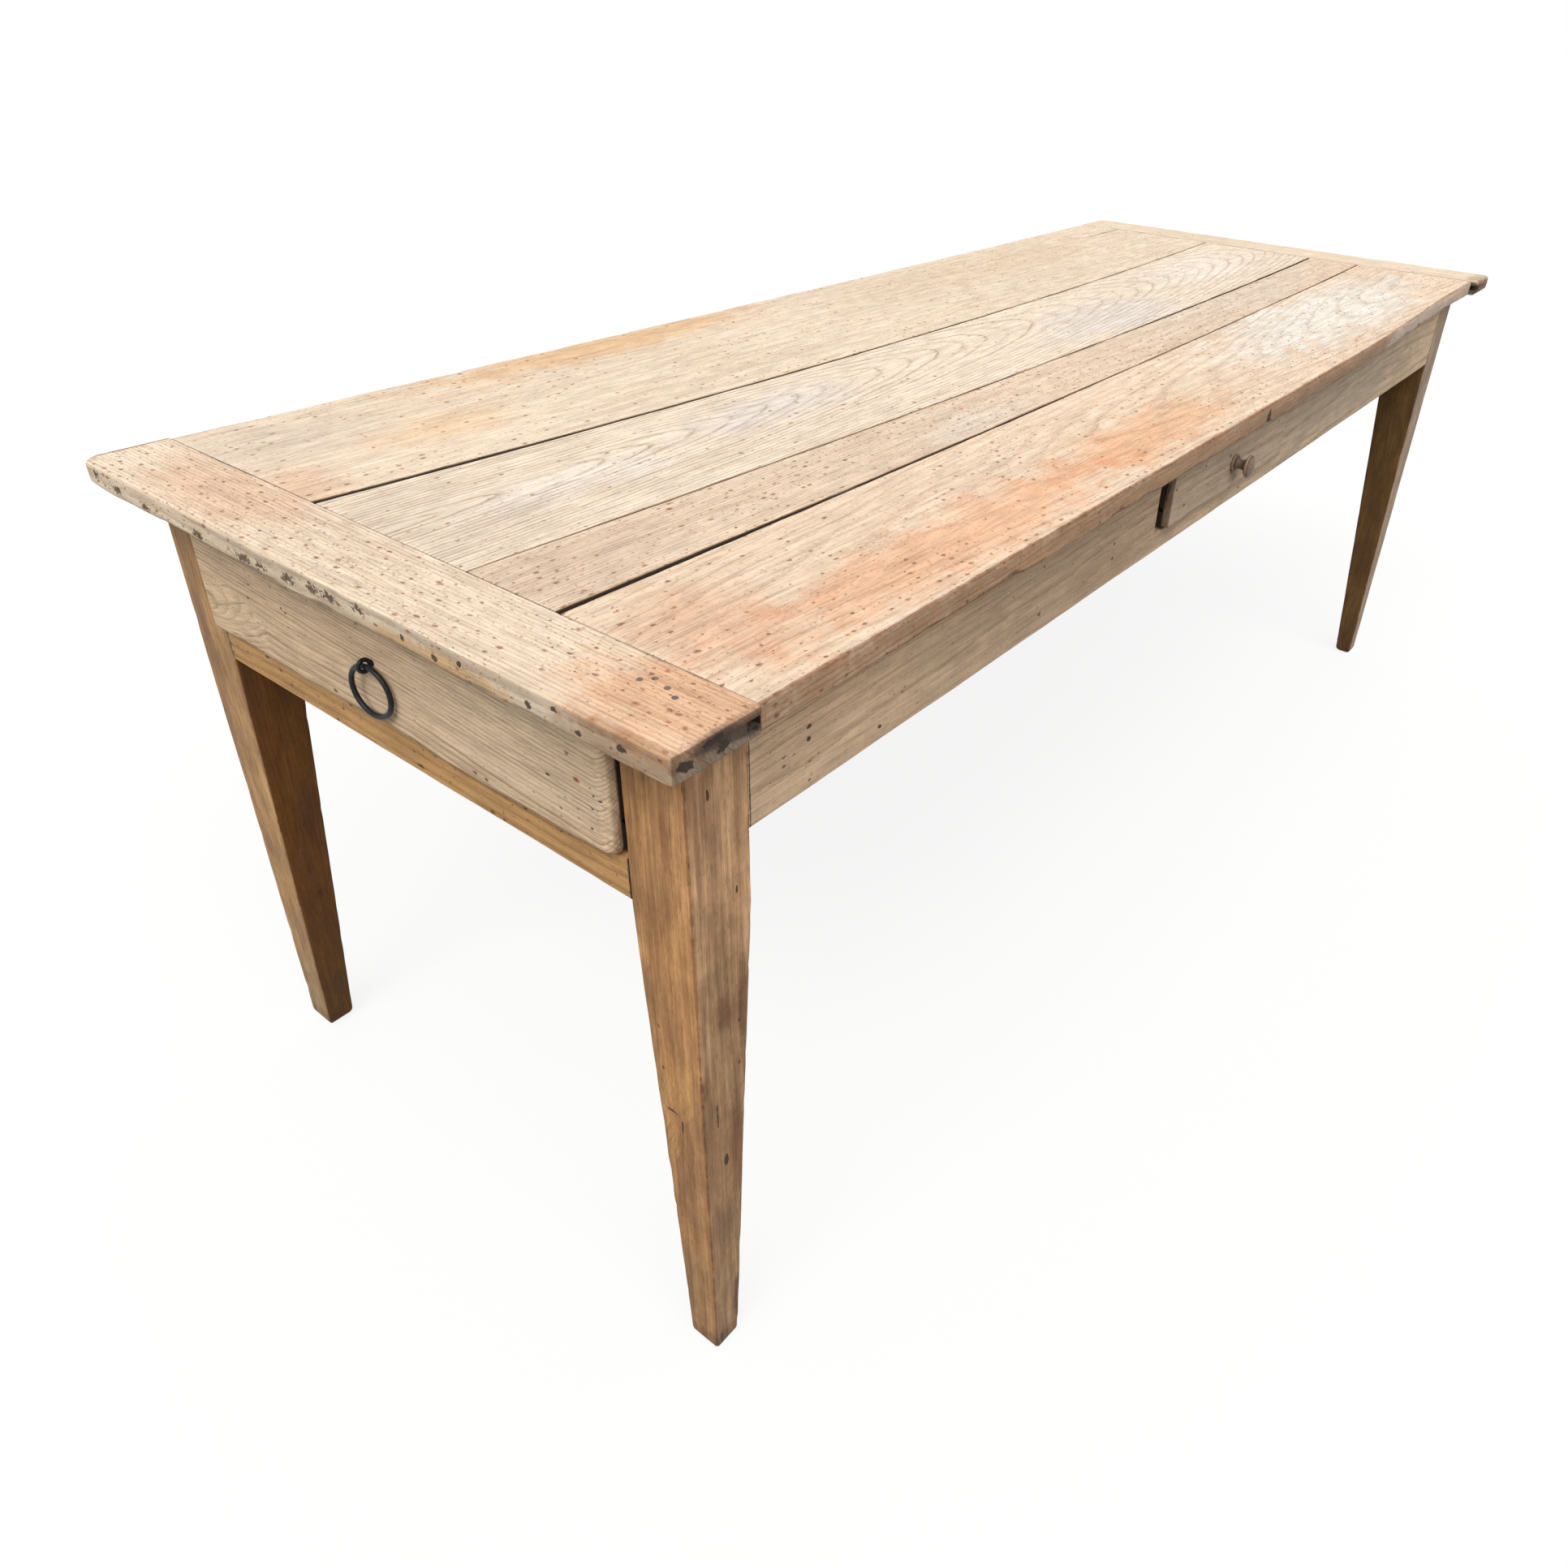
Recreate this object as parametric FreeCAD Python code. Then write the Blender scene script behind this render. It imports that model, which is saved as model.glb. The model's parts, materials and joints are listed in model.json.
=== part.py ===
import FreeCAD, Part
import math
import os

# Farmhouse table in oak: four tapered planks between breadboard ends on a jointed
# base with square tapered legs, one drawer in the near end and one in the front side.
# Frame: X along the length (end drawer at -X), front side with the small drawer at -Y,
# Z up, floor at 0, origin under the middle of the top. All sizes in millimetres.

V = FreeCAD.Vector
os.makedirs("parts", exist_ok=True)

# Top
table_height = 760.0
top_thickness = 24.0
top_length = 2100.0
breadboard_length = 808.0
breadboard_near_width = 86.0
breadboard_far_width = 86.0
plank_front_set = 2.0
plank_back_set = 1.0
joint_a_near = 140.0
joint_a_far = 104.0
joint_b_near = -84.0
joint_b_far = -98.0
joint_c_near = -193.0
joint_c_far = -185.0
gap_a_near = 4.5
gap_a_far = 0.8
gap_b_near = 0.8
gap_b_far = 4.5
gap_c_near = 6.0
gap_c_far = 1.0
tongue_length = 13.0
tongue_thickness = 8.0
tongue_end_set = 16.0
tongue_end_clearance = 1.0
breadboard_gap = 0.6
edge_round = 3.0
corner_round_front = 5.0
corner_round_back = 14.0

# Base
overhang_near = 46.0
overhang_far = 94.0
overhang_front = 39.0
overhang_back = 39.0
leg_square = 67.0
leg_square_below_rail = 6.0
leg_arris_round = 3.0
foot_bevel = 5.0
foot_near_front = (30.0, 35.0)
foot_near_back = (32.0, 40.0)
foot_far_front = (29.0, 29.0)
foot_far_back = (30.0, 36.0)
apron_thickness = 24.0
apron_height = 115.0
rail_thickness = 26.0
rail_height = 40.0
rail_drop = 178.0
tenon_inset = 10.0
tenon_back_shoulder = 3.0
tenon_meet_gap = 4.0
apron_tenon_height = 76.0
rail_tenon_height = 30.0
joint_clearance = 0.15

# Cross rail and drawer runners
cross_rail_thickness = 26.0
cross_rail_top_gap = 1.0
cross_rail_below_runner = 2.0
cross_rail_low_set = 30.0
cross_tenon_length = 12.0
cross_tenon_height = 84.0
runner_thickness = 24.0
end_runner_width = 46.0
end_guide_height = 28.0
end_guide_width = 18.0
runner_tenon_length = 12.0
runner_tenon_thickness = 12.0
runner_tenon_shoulder = 7.0
side_runner_width = 42.0
side_guide_height = 26.0
side_guide_start = 120.0
side_guide_width = 13.0
stop_length = 14.0
stop_height = 22.0

# End drawer
end_proud = 12.0
end_front_thickness = 26.0
end_front_gap_front = 3.5
end_front_gap_back = 1.5
end_front_bottom_gap = 2.5
end_front_top_gap = 3.0
end_drawer_length = 622.0
slide_clearance = 0.4
end_side_thickness = 14.0
end_side_top_gap = 6.0
end_back_thickness = 15.0
end_back_inset = 12.0
end_back_top_drop = 12.0
end_bottom_thickness = 8.0
end_bottom_raise = 8.0
end_tail_length = 15.0
end_tail_count = 3
end_tail_narrow = 20.0
end_tail_wide = 27.0
end_nail_count = 4

# Side drawer
side_proud = 10.0
side_front_thickness = 22.0
side_opening_from_cross = 107.6
side_opening_width = 372.0
side_sill_height = 24.0
side_front_left_gap = 17.0
side_front_right_gap = 4.0
side_front_bottom_gap = 5.0
side_front_top_gap = 3.0
side_drawer_length = 480.0
side_side_thickness = 12.0
side_side_top_gap = 6.0
side_back_thickness = 13.0
side_back_inset = 10.0
side_back_top_drop = 10.0
side_bottom_thickness = 7.0
side_bottom_raise = 8.0
side_tail_length = 13.0
side_tail_count = 2
side_tail_narrow = 17.0
side_tail_wide = 23.0
side_nail_count = 3

# Shared drawer details
bottom_groove_depth = 6.0
back_housing_depth = 4.0
panel_clearance = 0.3
bottom_nail_diameter = 2.4
bottom_nail_length = 34.0
bottom_nail_head_diameter = 5.0
bottom_nail_head_height = 1.2
front_edge_round = 7.0

# Ring pull
pull_off_middle = -3.0
pull_height = 67.5
eye_off_wood = 0.1
eye_room = 0.5
eye_wire = 4.0
shank_diameter = 6.0
shank_past_nut = 4.0
washer_diameter = 18.0
washer_thickness = 1.5
nut_width = 12.0
nut_thickness = 5.0
ring_radius = 24.4
ring_wire = 5.4
ring_straight_half = 4.0
ring_play = 0.3
ring_turn = 6.0

# Knob
knob_height = 34.0
knob_base_diameter = 23.0
knob_base_height = 4.0
knob_neck_diameter = 12.0
knob_neck_rise = 7.0
knob_head_diameter = 29.0
knob_head_rise = 7.5
knob_rim = 2.5
knob_dome = 5.0
knob_spigot_diameter = 10.0

# Fastenings of the top
button_length = 42.0
button_width = 34.0
button_height = 20.0
button_tongue = 9.0
button_tongue_height = 9.0
button_slot_room = 1.0
button_slot_play = 3.0
beside_button_count = 1
front_button_count = 2
back_button_count = 3
far_button_count = 2
screw_diameter = 4.5
screw_head_diameter = 9.0
screw_head_height = 3.0
screw_length = 34.0
nail_diameter = 3.4
nail_head_diameter = 5.0
nail_head_height = 1.0
nail_length = 66.0
nail_edge = 9.0
nail_spread = ((0.76, 0.65), (0.12, 0.80), (0.47, 0.33), (0.0, 0.06))
pin_clearance = 0.15

# Values that follow from the sizes above
same = 0.01
cut_past = 1.0
under = table_height - top_thickness
x_near = -top_length / 2
x_far = top_length / 2
y_front = -breadboard_length / 2
y_back = breadboard_length / 2
base_x0 = x_near + overhang_near
base_x1 = x_far - overhang_far
base_y0 = y_front + overhang_front
base_y1 = y_back - overhang_back
leg_in_x0 = base_x0 + leg_square
leg_in_x1 = base_x1 - leg_square
leg_in_y0 = base_y0 + leg_square
leg_in_y1 = base_y1 - leg_square
apron_bottom = under - apron_height
rail_bottom = under - rail_drop
apron_in_y0 = base_y0 + apron_thickness
apron_in_y1 = base_y1 - apron_thickness
apron_in_x1 = base_x1 - apron_thickness
rail_top = rail_bottom + rail_height
rail_in_x = base_x0 + rail_thickness
leg_taper_start = rail_bottom - leg_square_below_rail
tenon_thickness = apron_thickness - tenon_inset - tenon_back_shoulder
tenon_length = leg_square - tenon_inset - tenon_thickness - tenon_meet_gap
groove_depth = tongue_length + tongue_end_clearance
groove_near_x = x_near + breadboard_near_width - groove_depth
end_drawer_x0 = base_x0 - end_proud
end_drawer_x1 = end_drawer_x0 + end_drawer_length
end_stop_x0 = end_drawer_x1 + slide_clearance
cross_rail_front = end_stop_x0 + stop_length
cross_back = cross_rail_front + cross_rail_thickness
cross_rail_bottom = rail_top - runner_thickness - cross_rail_below_runner
end_front_bottom = rail_top + end_front_bottom_gap
side_opening_left = cross_back + side_opening_from_cross
side_opening_right = side_opening_left + side_opening_width
side_opening_bottom = apron_bottom + side_sill_height
eye_radius = eye_wire / 2 + ring_wire / 2 + ring_play + eye_room
pull_stand_off = eye_radius + eye_wire / 2 + eye_off_wood
button_slot_depth = button_tongue + button_slot_room


def box(x0, x1, y0, y1, z0, z1):
    return Part.makeBox(x1 - x0, y1 - y0, z1 - z0, V(x0, y0, z0))


def prism(points, direction):
    wire = Part.makePolygon(points + [points[0]])
    return Part.Face(wire).extrude(direction)


def grown(x0, x1, y0, y1, z0, z1, gap):
    return box(x0 - gap, x1 + gap, y0 - gap, y1 + gap, z0 - gap, z1 + gap)


def rounded(shape, radius, keep):
    edges = [edge for edge in shape.Edges if keep(edge)]
    return shape.makeFillet(radius, edges) if edges else shape


def along(edge, axis):
    a, b = edge.Vertexes[0].Point, edge.Vertexes[-1].Point
    d = b - a
    return d.Length > 1 and abs(d.dot(axis)) > 0.999 * d.Length


def save(name, shape):
    shape = shape.removeSplitter() if shape.ShapeType != "Compound" else shape
    shape.exportStep("parts/" + name + ".step")


def save_group(name, shapes):
    Part.makeCompound(shapes).exportStep("parts/" + name + ".step")


def blend(near, far, share):
    return near + (far - near) * share


def lerp(near, far, x):
    return blend(near, far, (x - x_near) / top_length)


def spread(low, high, count):
    step = (high - low) / count
    return [low + (i + 0.5) * step for i in range(count)]


# Buttons along the aprons, clear of drawers and cross rail, and nails where the
# near breadboard bears on the front leg
beside_end_drawer = spread(leg_in_x0, cross_rail_front, beside_button_count)
button_front_x = beside_end_drawer + spread(side_opening_right, leg_in_x1, front_button_count)
button_back_x = beside_end_drawer + spread(cross_back, leg_in_x1, back_button_count)
button_far_y = spread(leg_in_y0, leg_in_y1, far_button_count)
nail_x = (base_x0 + nail_edge, groove_near_x - nail_head_diameter)
nail_y = (base_y0 + nail_edge, leg_in_y0 - nail_edge)
nail_places = [(blend(*nail_x, along_x), blend(*nail_y, along_y)) for along_x, along_y in nail_spread]


def button(cx, cy, dx, dy):
    """Wooden button: block under the top with a tongue towards (dx, dy)."""
    low = under - button_height
    if dy:
        inner = cy - dy * button_width
        y0, y1 = min(cy, inner), max(cy, inner)
        block = box(cx - button_length / 2, cx + button_length / 2, y0, y1, low, under)
        t0, t1 = min(cy, cy + dy * button_tongue), max(cy, cy + dy * button_tongue)
        tongue = box(cx - button_length / 2, cx + button_length / 2, t0, t1,
                     low, low + button_tongue_height)
    else:
        inner = cx - dx * button_width
        x0, x1 = min(cx, inner), max(cx, inner)
        block = box(x0, x1, cy - button_length / 2, cy + button_length / 2, low, under)
        t0, t1 = min(cx, cx + dx * button_tongue), max(cx, cx + dx * button_tongue)
        tongue = box(t0, t1, cy - button_length / 2, cy + button_length / 2,
                     low, low + button_tongue_height)
    return block.fuse(tongue).removeSplitter()


def button_slot(cx, cy, dx, dy):
    low = under - button_height
    half = button_length / 2 + button_slot_play
    top = low + button_tongue_height + joint_clearance
    if dy:
        t0, t1 = sorted((cy, cy + dy * button_slot_depth))
        return box(cx - half, cx + half, t0, t1, low - joint_clearance, top)
    t0, t1 = sorted((cx, cx + dx * button_slot_depth))
    return box(t0, t1, cy - half, cy + half, low - joint_clearance, top)


def pin(x, y, z_head, direction, length, diameter, head_diameter, head_height, gap=0.0):
    """Round fastener with a flat head, running from the head along direction."""
    axis = V(0, 0, direction)
    head = Part.makeCylinder(head_diameter / 2 + gap, head_height + gap,
                             V(x, y, z_head), axis)
    shank = Part.makeCylinder(diameter / 2 + gap, length + gap, V(x, y, z_head), axis)
    return head.fuse(shank)


button_places = [(x, apron_in_y0, 0, -1) for x in button_front_x]
button_places += [(x, apron_in_y1, 0, 1) for x in button_back_x]
button_places += [(apron_in_x1, y, 1, 0) for y in button_far_y]
screw_places = []
for bx, by, dx, dy in button_places:
    screw_places.append((bx - dx * button_width / 2, by - dy * button_width / 2))
screw_low = under - button_height


def screw(x, y, gap=0.0):
    return pin(x, y, screw_low, 1, screw_length, screw_diameter,
               screw_head_diameter, screw_head_height, gap)


def corner_nail(x, y, gap=0.0):
    return pin(x, y, table_height, -1, nail_length, nail_diameter,
               nail_head_diameter, nail_head_height, gap)


screw_holes = [screw(x, y, pin_clearance) for x, y in screw_places]
nail_holes = [corner_nail(x, y, pin_clearance) for x, y in nail_places]


def drilled(shape, holes):
    near = [hole for hole in holes if shape.BoundBox.intersect(hole.BoundBox)]
    for hole in near:
        shape = shape.cut(hole)
    return shape


# Top planks
plank_x0 = x_near + breadboard_near_width
plank_x1 = x_far - breadboard_far_width
plank_front = y_front + plank_front_set
plank_back = y_back - plank_back_set
tongue_z0 = under + (top_thickness - tongue_thickness) / 2
tongue_z1 = tongue_z0 + tongue_thickness
plank_sides = (
    ("plank_1", (plank_back, plank_back, 0, 0), (joint_a_near, joint_a_far, gap_a_near, gap_a_far)),
    ("plank_2", (joint_a_near, joint_a_far, gap_a_near, gap_a_far),
     (joint_b_near, joint_b_far, gap_b_near, gap_b_far)),
    ("plank_3", (joint_b_near, joint_b_far, gap_b_near, gap_b_far),
     (joint_c_near, joint_c_far, gap_c_near, gap_c_far)),
    ("plank_4", (joint_c_near, joint_c_far, gap_c_near, gap_c_far),
     (plank_front, plank_front, 0, 0)),
)


def side_y(edge, x, sign):
    near, far, gap_near, gap_far = edge
    return lerp(near, far, x) + sign * lerp(gap_near, gap_far, x) / 2


def plank_outline(high, low, x0, x1, set_high, set_low, z, height):
    points = [V(x0, side_y(low, x0, 1) + set_low, z), V(x1, side_y(low, x1, 1) + set_low, z),
              V(x1, side_y(high, x1, -1) - set_high, z), V(x0, side_y(high, x0, -1) - set_high, z)]
    return prism(points, V(0, 0, height))


for name, high, low in plank_sides:
    body_x0 = plank_x0 + breadboard_gap
    body_x1 = plank_x1 - breadboard_gap
    plank = plank_outline(high, low, body_x0, body_x1, 0, 0, under, top_thickness)
    outer = plank_front if name == "plank_4" else plank_back if name == "plank_1" else None
    if outer is not None:
        plank = rounded(plank, edge_round,
                        lambda e: along(e, V(1, 0, 0)) and abs(e.CenterOfMass.y - outer) < same)
    set_high = tongue_end_set if name == "plank_1" else 0
    set_low = tongue_end_set if name == "plank_4" else 0
    tongues = plank_outline(high, low, plank_x0 - tongue_length, plank_x1 + tongue_length,
                            set_high, set_low, tongue_z0, tongue_thickness)
    plank = drilled(plank.fuse(tongues), screw_holes)
    save(name, plank)

# Breadboard ends
for name, x0, x1, joint in (("breadboard_near", x_near, plank_x0, 1),
                            ("breadboard_far", plank_x1, x_far, -1)):
    board = box(x0, x1, y_front, y_back, under, table_height)
    outer, meeting = (x0, x1) if joint > 0 else (x1, x0)
    for corner_y, radius in ((y_front, corner_round_front), (y_back, corner_round_back)):
        board = rounded(board, radius, lambda e: along(e, V(0, 0, 1))
                        and abs(e.CenterOfMass.x - outer) < same
                        and abs(e.CenterOfMass.y - corner_y) < same)
    board = rounded(board, edge_round, lambda e: e.BoundBox.ZLength < same
                    and abs(e.CenterOfMass.x - meeting) > same)
    g0, g1 = (x1 - groove_depth, x1) if joint > 0 else (x0, x0 + groove_depth)
    board = board.cut(box(g0, g1, y_front - cut_past, y_back + cut_past,
                          tongue_z0 - joint_clearance, tongue_z1 + joint_clearance))
    save(name, drilled(board, nail_holes))

# Tenons of the base frame, kept as boxes so that each mortise follows its tenon
front_tenon_y = (base_y0 + tenon_inset, base_y0 + tenon_inset + tenon_thickness)
back_tenon_y = (base_y1 - tenon_inset - tenon_thickness, base_y1 - tenon_inset)
near_tenon_x = (base_x0 + tenon_inset, base_x0 + tenon_inset + tenon_thickness)
far_tenon_x = (base_x1 - tenon_inset - tenon_thickness, base_x1 - tenon_inset)
apron_tenon_z0 = apron_bottom + (apron_height - apron_tenon_height) / 2
apron_tenon_z = (apron_tenon_z0, apron_tenon_z0 + apron_tenon_height)
rail_tenon_z0 = rail_bottom + (rail_height - rail_tenon_height) / 2
rail_tenon_z = (rail_tenon_z0, rail_tenon_z0 + rail_tenon_height)
front_tenons = [(leg_in_x0 - tenon_length, leg_in_x0) + front_tenon_y + apron_tenon_z,
                (leg_in_x1, leg_in_x1 + tenon_length) + front_tenon_y + apron_tenon_z]
back_tenons = [(leg_in_x0 - tenon_length, leg_in_x0) + back_tenon_y + apron_tenon_z,
               (leg_in_x1, leg_in_x1 + tenon_length) + back_tenon_y + apron_tenon_z]
far_tenons = [far_tenon_x + (leg_in_y0 - tenon_length, leg_in_y0) + apron_tenon_z,
              far_tenon_x + (leg_in_y1, leg_in_y1 + tenon_length) + apron_tenon_z]
rail_tenons = [near_tenon_x + (leg_in_y0 - tenon_length, leg_in_y0) + rail_tenon_z,
               near_tenon_x + (leg_in_y1, leg_in_y1 + tenon_length) + rail_tenon_z]
all_tenons = front_tenons + back_tenons + far_tenons + rail_tenons


def corners_at(cx, cy, dx, dy, wide_x, wide_y, z, set_in=0.0):
    return [V(cx + dx * set_in, cy + dy * set_in, z),
            V(cx + dx * (wide_x - set_in), cy + dy * set_in, z),
            V(cx + dx * (wide_x - set_in), cy + dy * (wide_y - set_in), z),
            V(cx + dx * set_in, cy + dy * (wide_y - set_in), z)]


def tapered(low, high):
    """Solid with flat faces between two four-cornered sections."""
    rings = [low, high]
    rings += [[low[i], low[i - 1], high[i - 1], high[i]] for i in range(4)]
    faces = [Part.Face(Part.makePolygon(ring + [ring[0]])) for ring in rings]
    solid = Part.Solid(Part.Shell(faces))
    return solid if solid.Volume > 0 else solid.reversed()


def leg(cx, cy, dx, dy, foot):
    """Square beside the aprons, tapered on its two inner faces below them."""
    share = foot_bevel / leg_taper_start
    wide = [size + (leg_square - size) * share for size in foot]
    upper = box(min(cx, cx + dx * leg_square), max(cx, cx + dx * leg_square),
                min(cy, cy + dy * leg_square), max(cy, cy + dy * leg_square),
                leg_taper_start, under)
    ankle = corners_at(cx, cy, dx, dy, wide[0], wide[1], foot_bevel)
    lower = tapered(ankle, corners_at(cx, cy, dx, dy, leg_square, leg_square, leg_taper_start))
    bevel = tapered(corners_at(cx, cy, dx, dy, wide[0], wide[1], 0.0, foot_bevel), ankle)
    shape = upper.fuse([lower, bevel]).removeSplitter()
    shape = rounded(shape, leg_arris_round, lambda e: along(e, V(0, 0, 1)) and e.Length > leg_square
                    and abs(e.CenterOfMass.x - cx) < same and abs(e.CenterOfMass.y - cy) < same)
    for tenon in all_tenons:
        mortise = grown(*tenon, gap=joint_clearance)
        if shape.BoundBox.intersect(mortise.BoundBox):
            shape = shape.cut(mortise)
    return drilled(shape, nail_holes)


save("leg_near_front", leg(base_x0, base_y0, 1, 1, foot_near_front))
save("leg_near_back", leg(base_x0, base_y1, 1, -1, foot_near_back))
save("leg_far_front", leg(base_x1, base_y0, -1, 1, foot_far_front))
save("leg_far_back", leg(base_x1, base_y1, -1, -1, foot_far_back))

# Cross rail behind the end drawer, tenoned into both long aprons
cross_z1 = under - cross_rail_top_gap
cross_tenon_z0 = apron_bottom + (apron_height - cross_tenon_height) / 2
cross_tenon_z = (cross_tenon_z0, cross_tenon_z0 + cross_tenon_height)
cross_mid = (cross_rail_front + cross_back) / 2
cross_tenon_x = (cross_mid - tenon_thickness / 2, cross_mid + tenon_thickness / 2)
cross_tenons = [cross_tenon_x + (apron_in_y0 - cross_tenon_length, apron_in_y0) + cross_tenon_z,
                cross_tenon_x + (apron_in_y1, apron_in_y1 + cross_tenon_length) + cross_tenon_z]

# Runner ends: stub tenons into rail, cross rail and aprons
end_front_y0 = leg_in_y0 + end_front_gap_front
end_front_y1 = leg_in_y1 - end_front_gap_back
runner_top = rail_top
end_runner_z = (runner_top - runner_thickness, runner_top)
stub_z0 = runner_top - runner_thickness + (runner_thickness - runner_tenon_thickness) / 2
stub_z = (stub_z0, stub_z0 + runner_tenon_thickness)
end_runners = {}
for name, wall, inward in (("front", end_front_y0, 1), ("back", end_front_y1, -1)):
    outer = wall - inward * (slide_clearance + end_guide_width)
    y0, y1 = sorted((outer, outer + inward * end_runner_width))
    g0, g1 = sorted((outer, outer + inward * end_guide_width))
    end_runners[name] = (y0, y1, g0, g1)
end_stubs = []
for y0, y1, g0, g1 in end_runners.values():
    n0 = max(y0, leg_in_y0) + runner_tenon_shoulder
    n1 = min(y1, leg_in_y1) - runner_tenon_shoulder
    end_stubs.append((rail_in_x - runner_tenon_length, rail_in_x, n0, n1) + stub_z)
    end_stubs.append((cross_rail_front, cross_rail_front + runner_tenon_length,
                      y0 + runner_tenon_shoulder, y1 - runner_tenon_shoulder) + stub_z)

side_front_x0 = side_opening_left + side_front_left_gap
side_front_x1 = side_opening_right - side_front_right_gap
side_runner_z = (side_opening_bottom - runner_thickness, side_opening_bottom)
side_stub_z0 = side_opening_bottom - runner_thickness + (runner_thickness - runner_tenon_thickness) / 2
side_stub_z = (side_stub_z0, side_stub_z0 + runner_tenon_thickness)
side_runners = {}
for name, wall, inward in (("near", side_front_x0, 1), ("far", side_front_x1, -1)):
    outer = wall - inward * (slide_clearance + side_guide_width)
    x0, x1 = sorted((outer, outer + inward * side_runner_width))
    g0, g1 = sorted((outer, outer + inward * side_guide_width))
    side_runners[name] = (x0, x1, g0, g1)
side_stubs = []
for x0, x1, g0, g1 in side_runners.values():
    stub_x = (x0 + runner_tenon_shoulder, x1 - runner_tenon_shoulder)
    side_stubs.append(stub_x + (apron_in_y0 - runner_tenon_length, apron_in_y0) + side_stub_z)
    side_stubs.append(stub_x + (apron_in_y1, apron_in_y1 + runner_tenon_length) + side_stub_z)


def mortised(shape, tenons):
    for tenon in tenons:
        mortise = grown(*tenon, gap=joint_clearance)
        if shape.BoundBox.intersect(mortise.BoundBox):
            shape = shape.cut(mortise)
    return shape


def with_tenons(shape, tenons):
    return shape.fuse([box(*tenon) for tenon in tenons]).removeSplitter()


# Aprons and near rail
button_slots = [button_slot(*place) for place in button_places]
apron = box(leg_in_x0, leg_in_x1, base_y0, apron_in_y0, apron_bottom, under)
apron = apron.cut(box(side_opening_left, side_opening_right, base_y0 - cut_past, apron_in_y0 + cut_past,
                      side_opening_bottom, under + cut_past))
apron = with_tenons(apron, front_tenons)
save("apron_front", drilled(mortised(apron, cross_tenons + side_stubs), button_slots + nail_holes))
apron = box(leg_in_x0, leg_in_x1, apron_in_y1, base_y1, apron_bottom, under)
apron = with_tenons(apron, back_tenons)
save("apron_back", drilled(mortised(apron, cross_tenons + side_stubs), button_slots))
apron = box(apron_in_x1, base_x1, leg_in_y0, leg_in_y1, apron_bottom, under)
save("apron_far", drilled(with_tenons(apron, far_tenons), button_slots))
rail = box(base_x0, rail_in_x, leg_in_y0, leg_in_y1, rail_bottom, rail_top)
save("rail_near", mortised(with_tenons(rail, rail_tenons), end_stubs))

cross = box(cross_rail_front, cross_back, apron_in_y0, apron_in_y1, apron_bottom, cross_z1)
cross_low = box(cross_rail_front, cross_back, apron_in_y0 + cross_rail_low_set,
                apron_in_y1 - cross_rail_low_set, cross_rail_bottom, apron_bottom)
cross = with_tenons(cross.fuse(cross_low), cross_tenons)
save("cross_rail", mortised(cross, end_stubs))

# Runners, guides and stops
stops = []
for name, (y0, y1, g0, g1) in end_runners.items():
    runner = box(rail_in_x, cross_rail_front, y0, y1, *end_runner_z)
    mine = [stub for stub in end_stubs if y0 < stub[2] < y1]
    runner = with_tenons(runner, mine)
    l0, l1 = (base_y0, leg_in_y0) if name == "front" else (leg_in_y1, base_y1)
    runner = runner.cut(grown(base_x0, leg_in_x0, l0, l1, rail_bottom, under, joint_clearance))
    save("end_runner_" + name, runner)
    guide = box(leg_in_x0, cross_rail_front, g0, g1, runner_top, runner_top + end_guide_height)
    save("end_guide_" + name, guide)
    s0, s1 = (g1, y1) if name == "front" else (y0, g0)
    stops.append(box(end_stop_x0, end_stop_x0 + stop_length, s0, s1, runner_top, runner_top + stop_height))
save_group("end_drawer_stops", stops)

side_drawer_y0 = base_y0 - side_proud
side_drawer_y1 = side_drawer_y0 + side_drawer_length
side_stop_y0 = side_drawer_y1 + slide_clearance
stops = []
for name, (x0, x1, g0, g1) in side_runners.items():
    runner = box(x0, x1, apron_in_y0, apron_in_y1, *side_runner_z)
    mine = [stub for stub in side_stubs if x0 < stub[0] < x1]
    save("side_runner_" + name, with_tenons(runner, mine))
    guide = box(g0, g1, apron_in_y0 + side_guide_start, apron_in_y1, side_opening_bottom,
                side_opening_bottom + side_guide_height)
    save("side_guide_" + name, guide)
    s0, s1 = (g1, x1) if name == "near" else (x0, g0)
    stops.append(box(s0, s1, side_stop_y0, side_stop_y0 + stop_length, side_opening_bottom,
                     side_opening_bottom + stop_height))
save_group("side_drawer_stops", stops)


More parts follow.
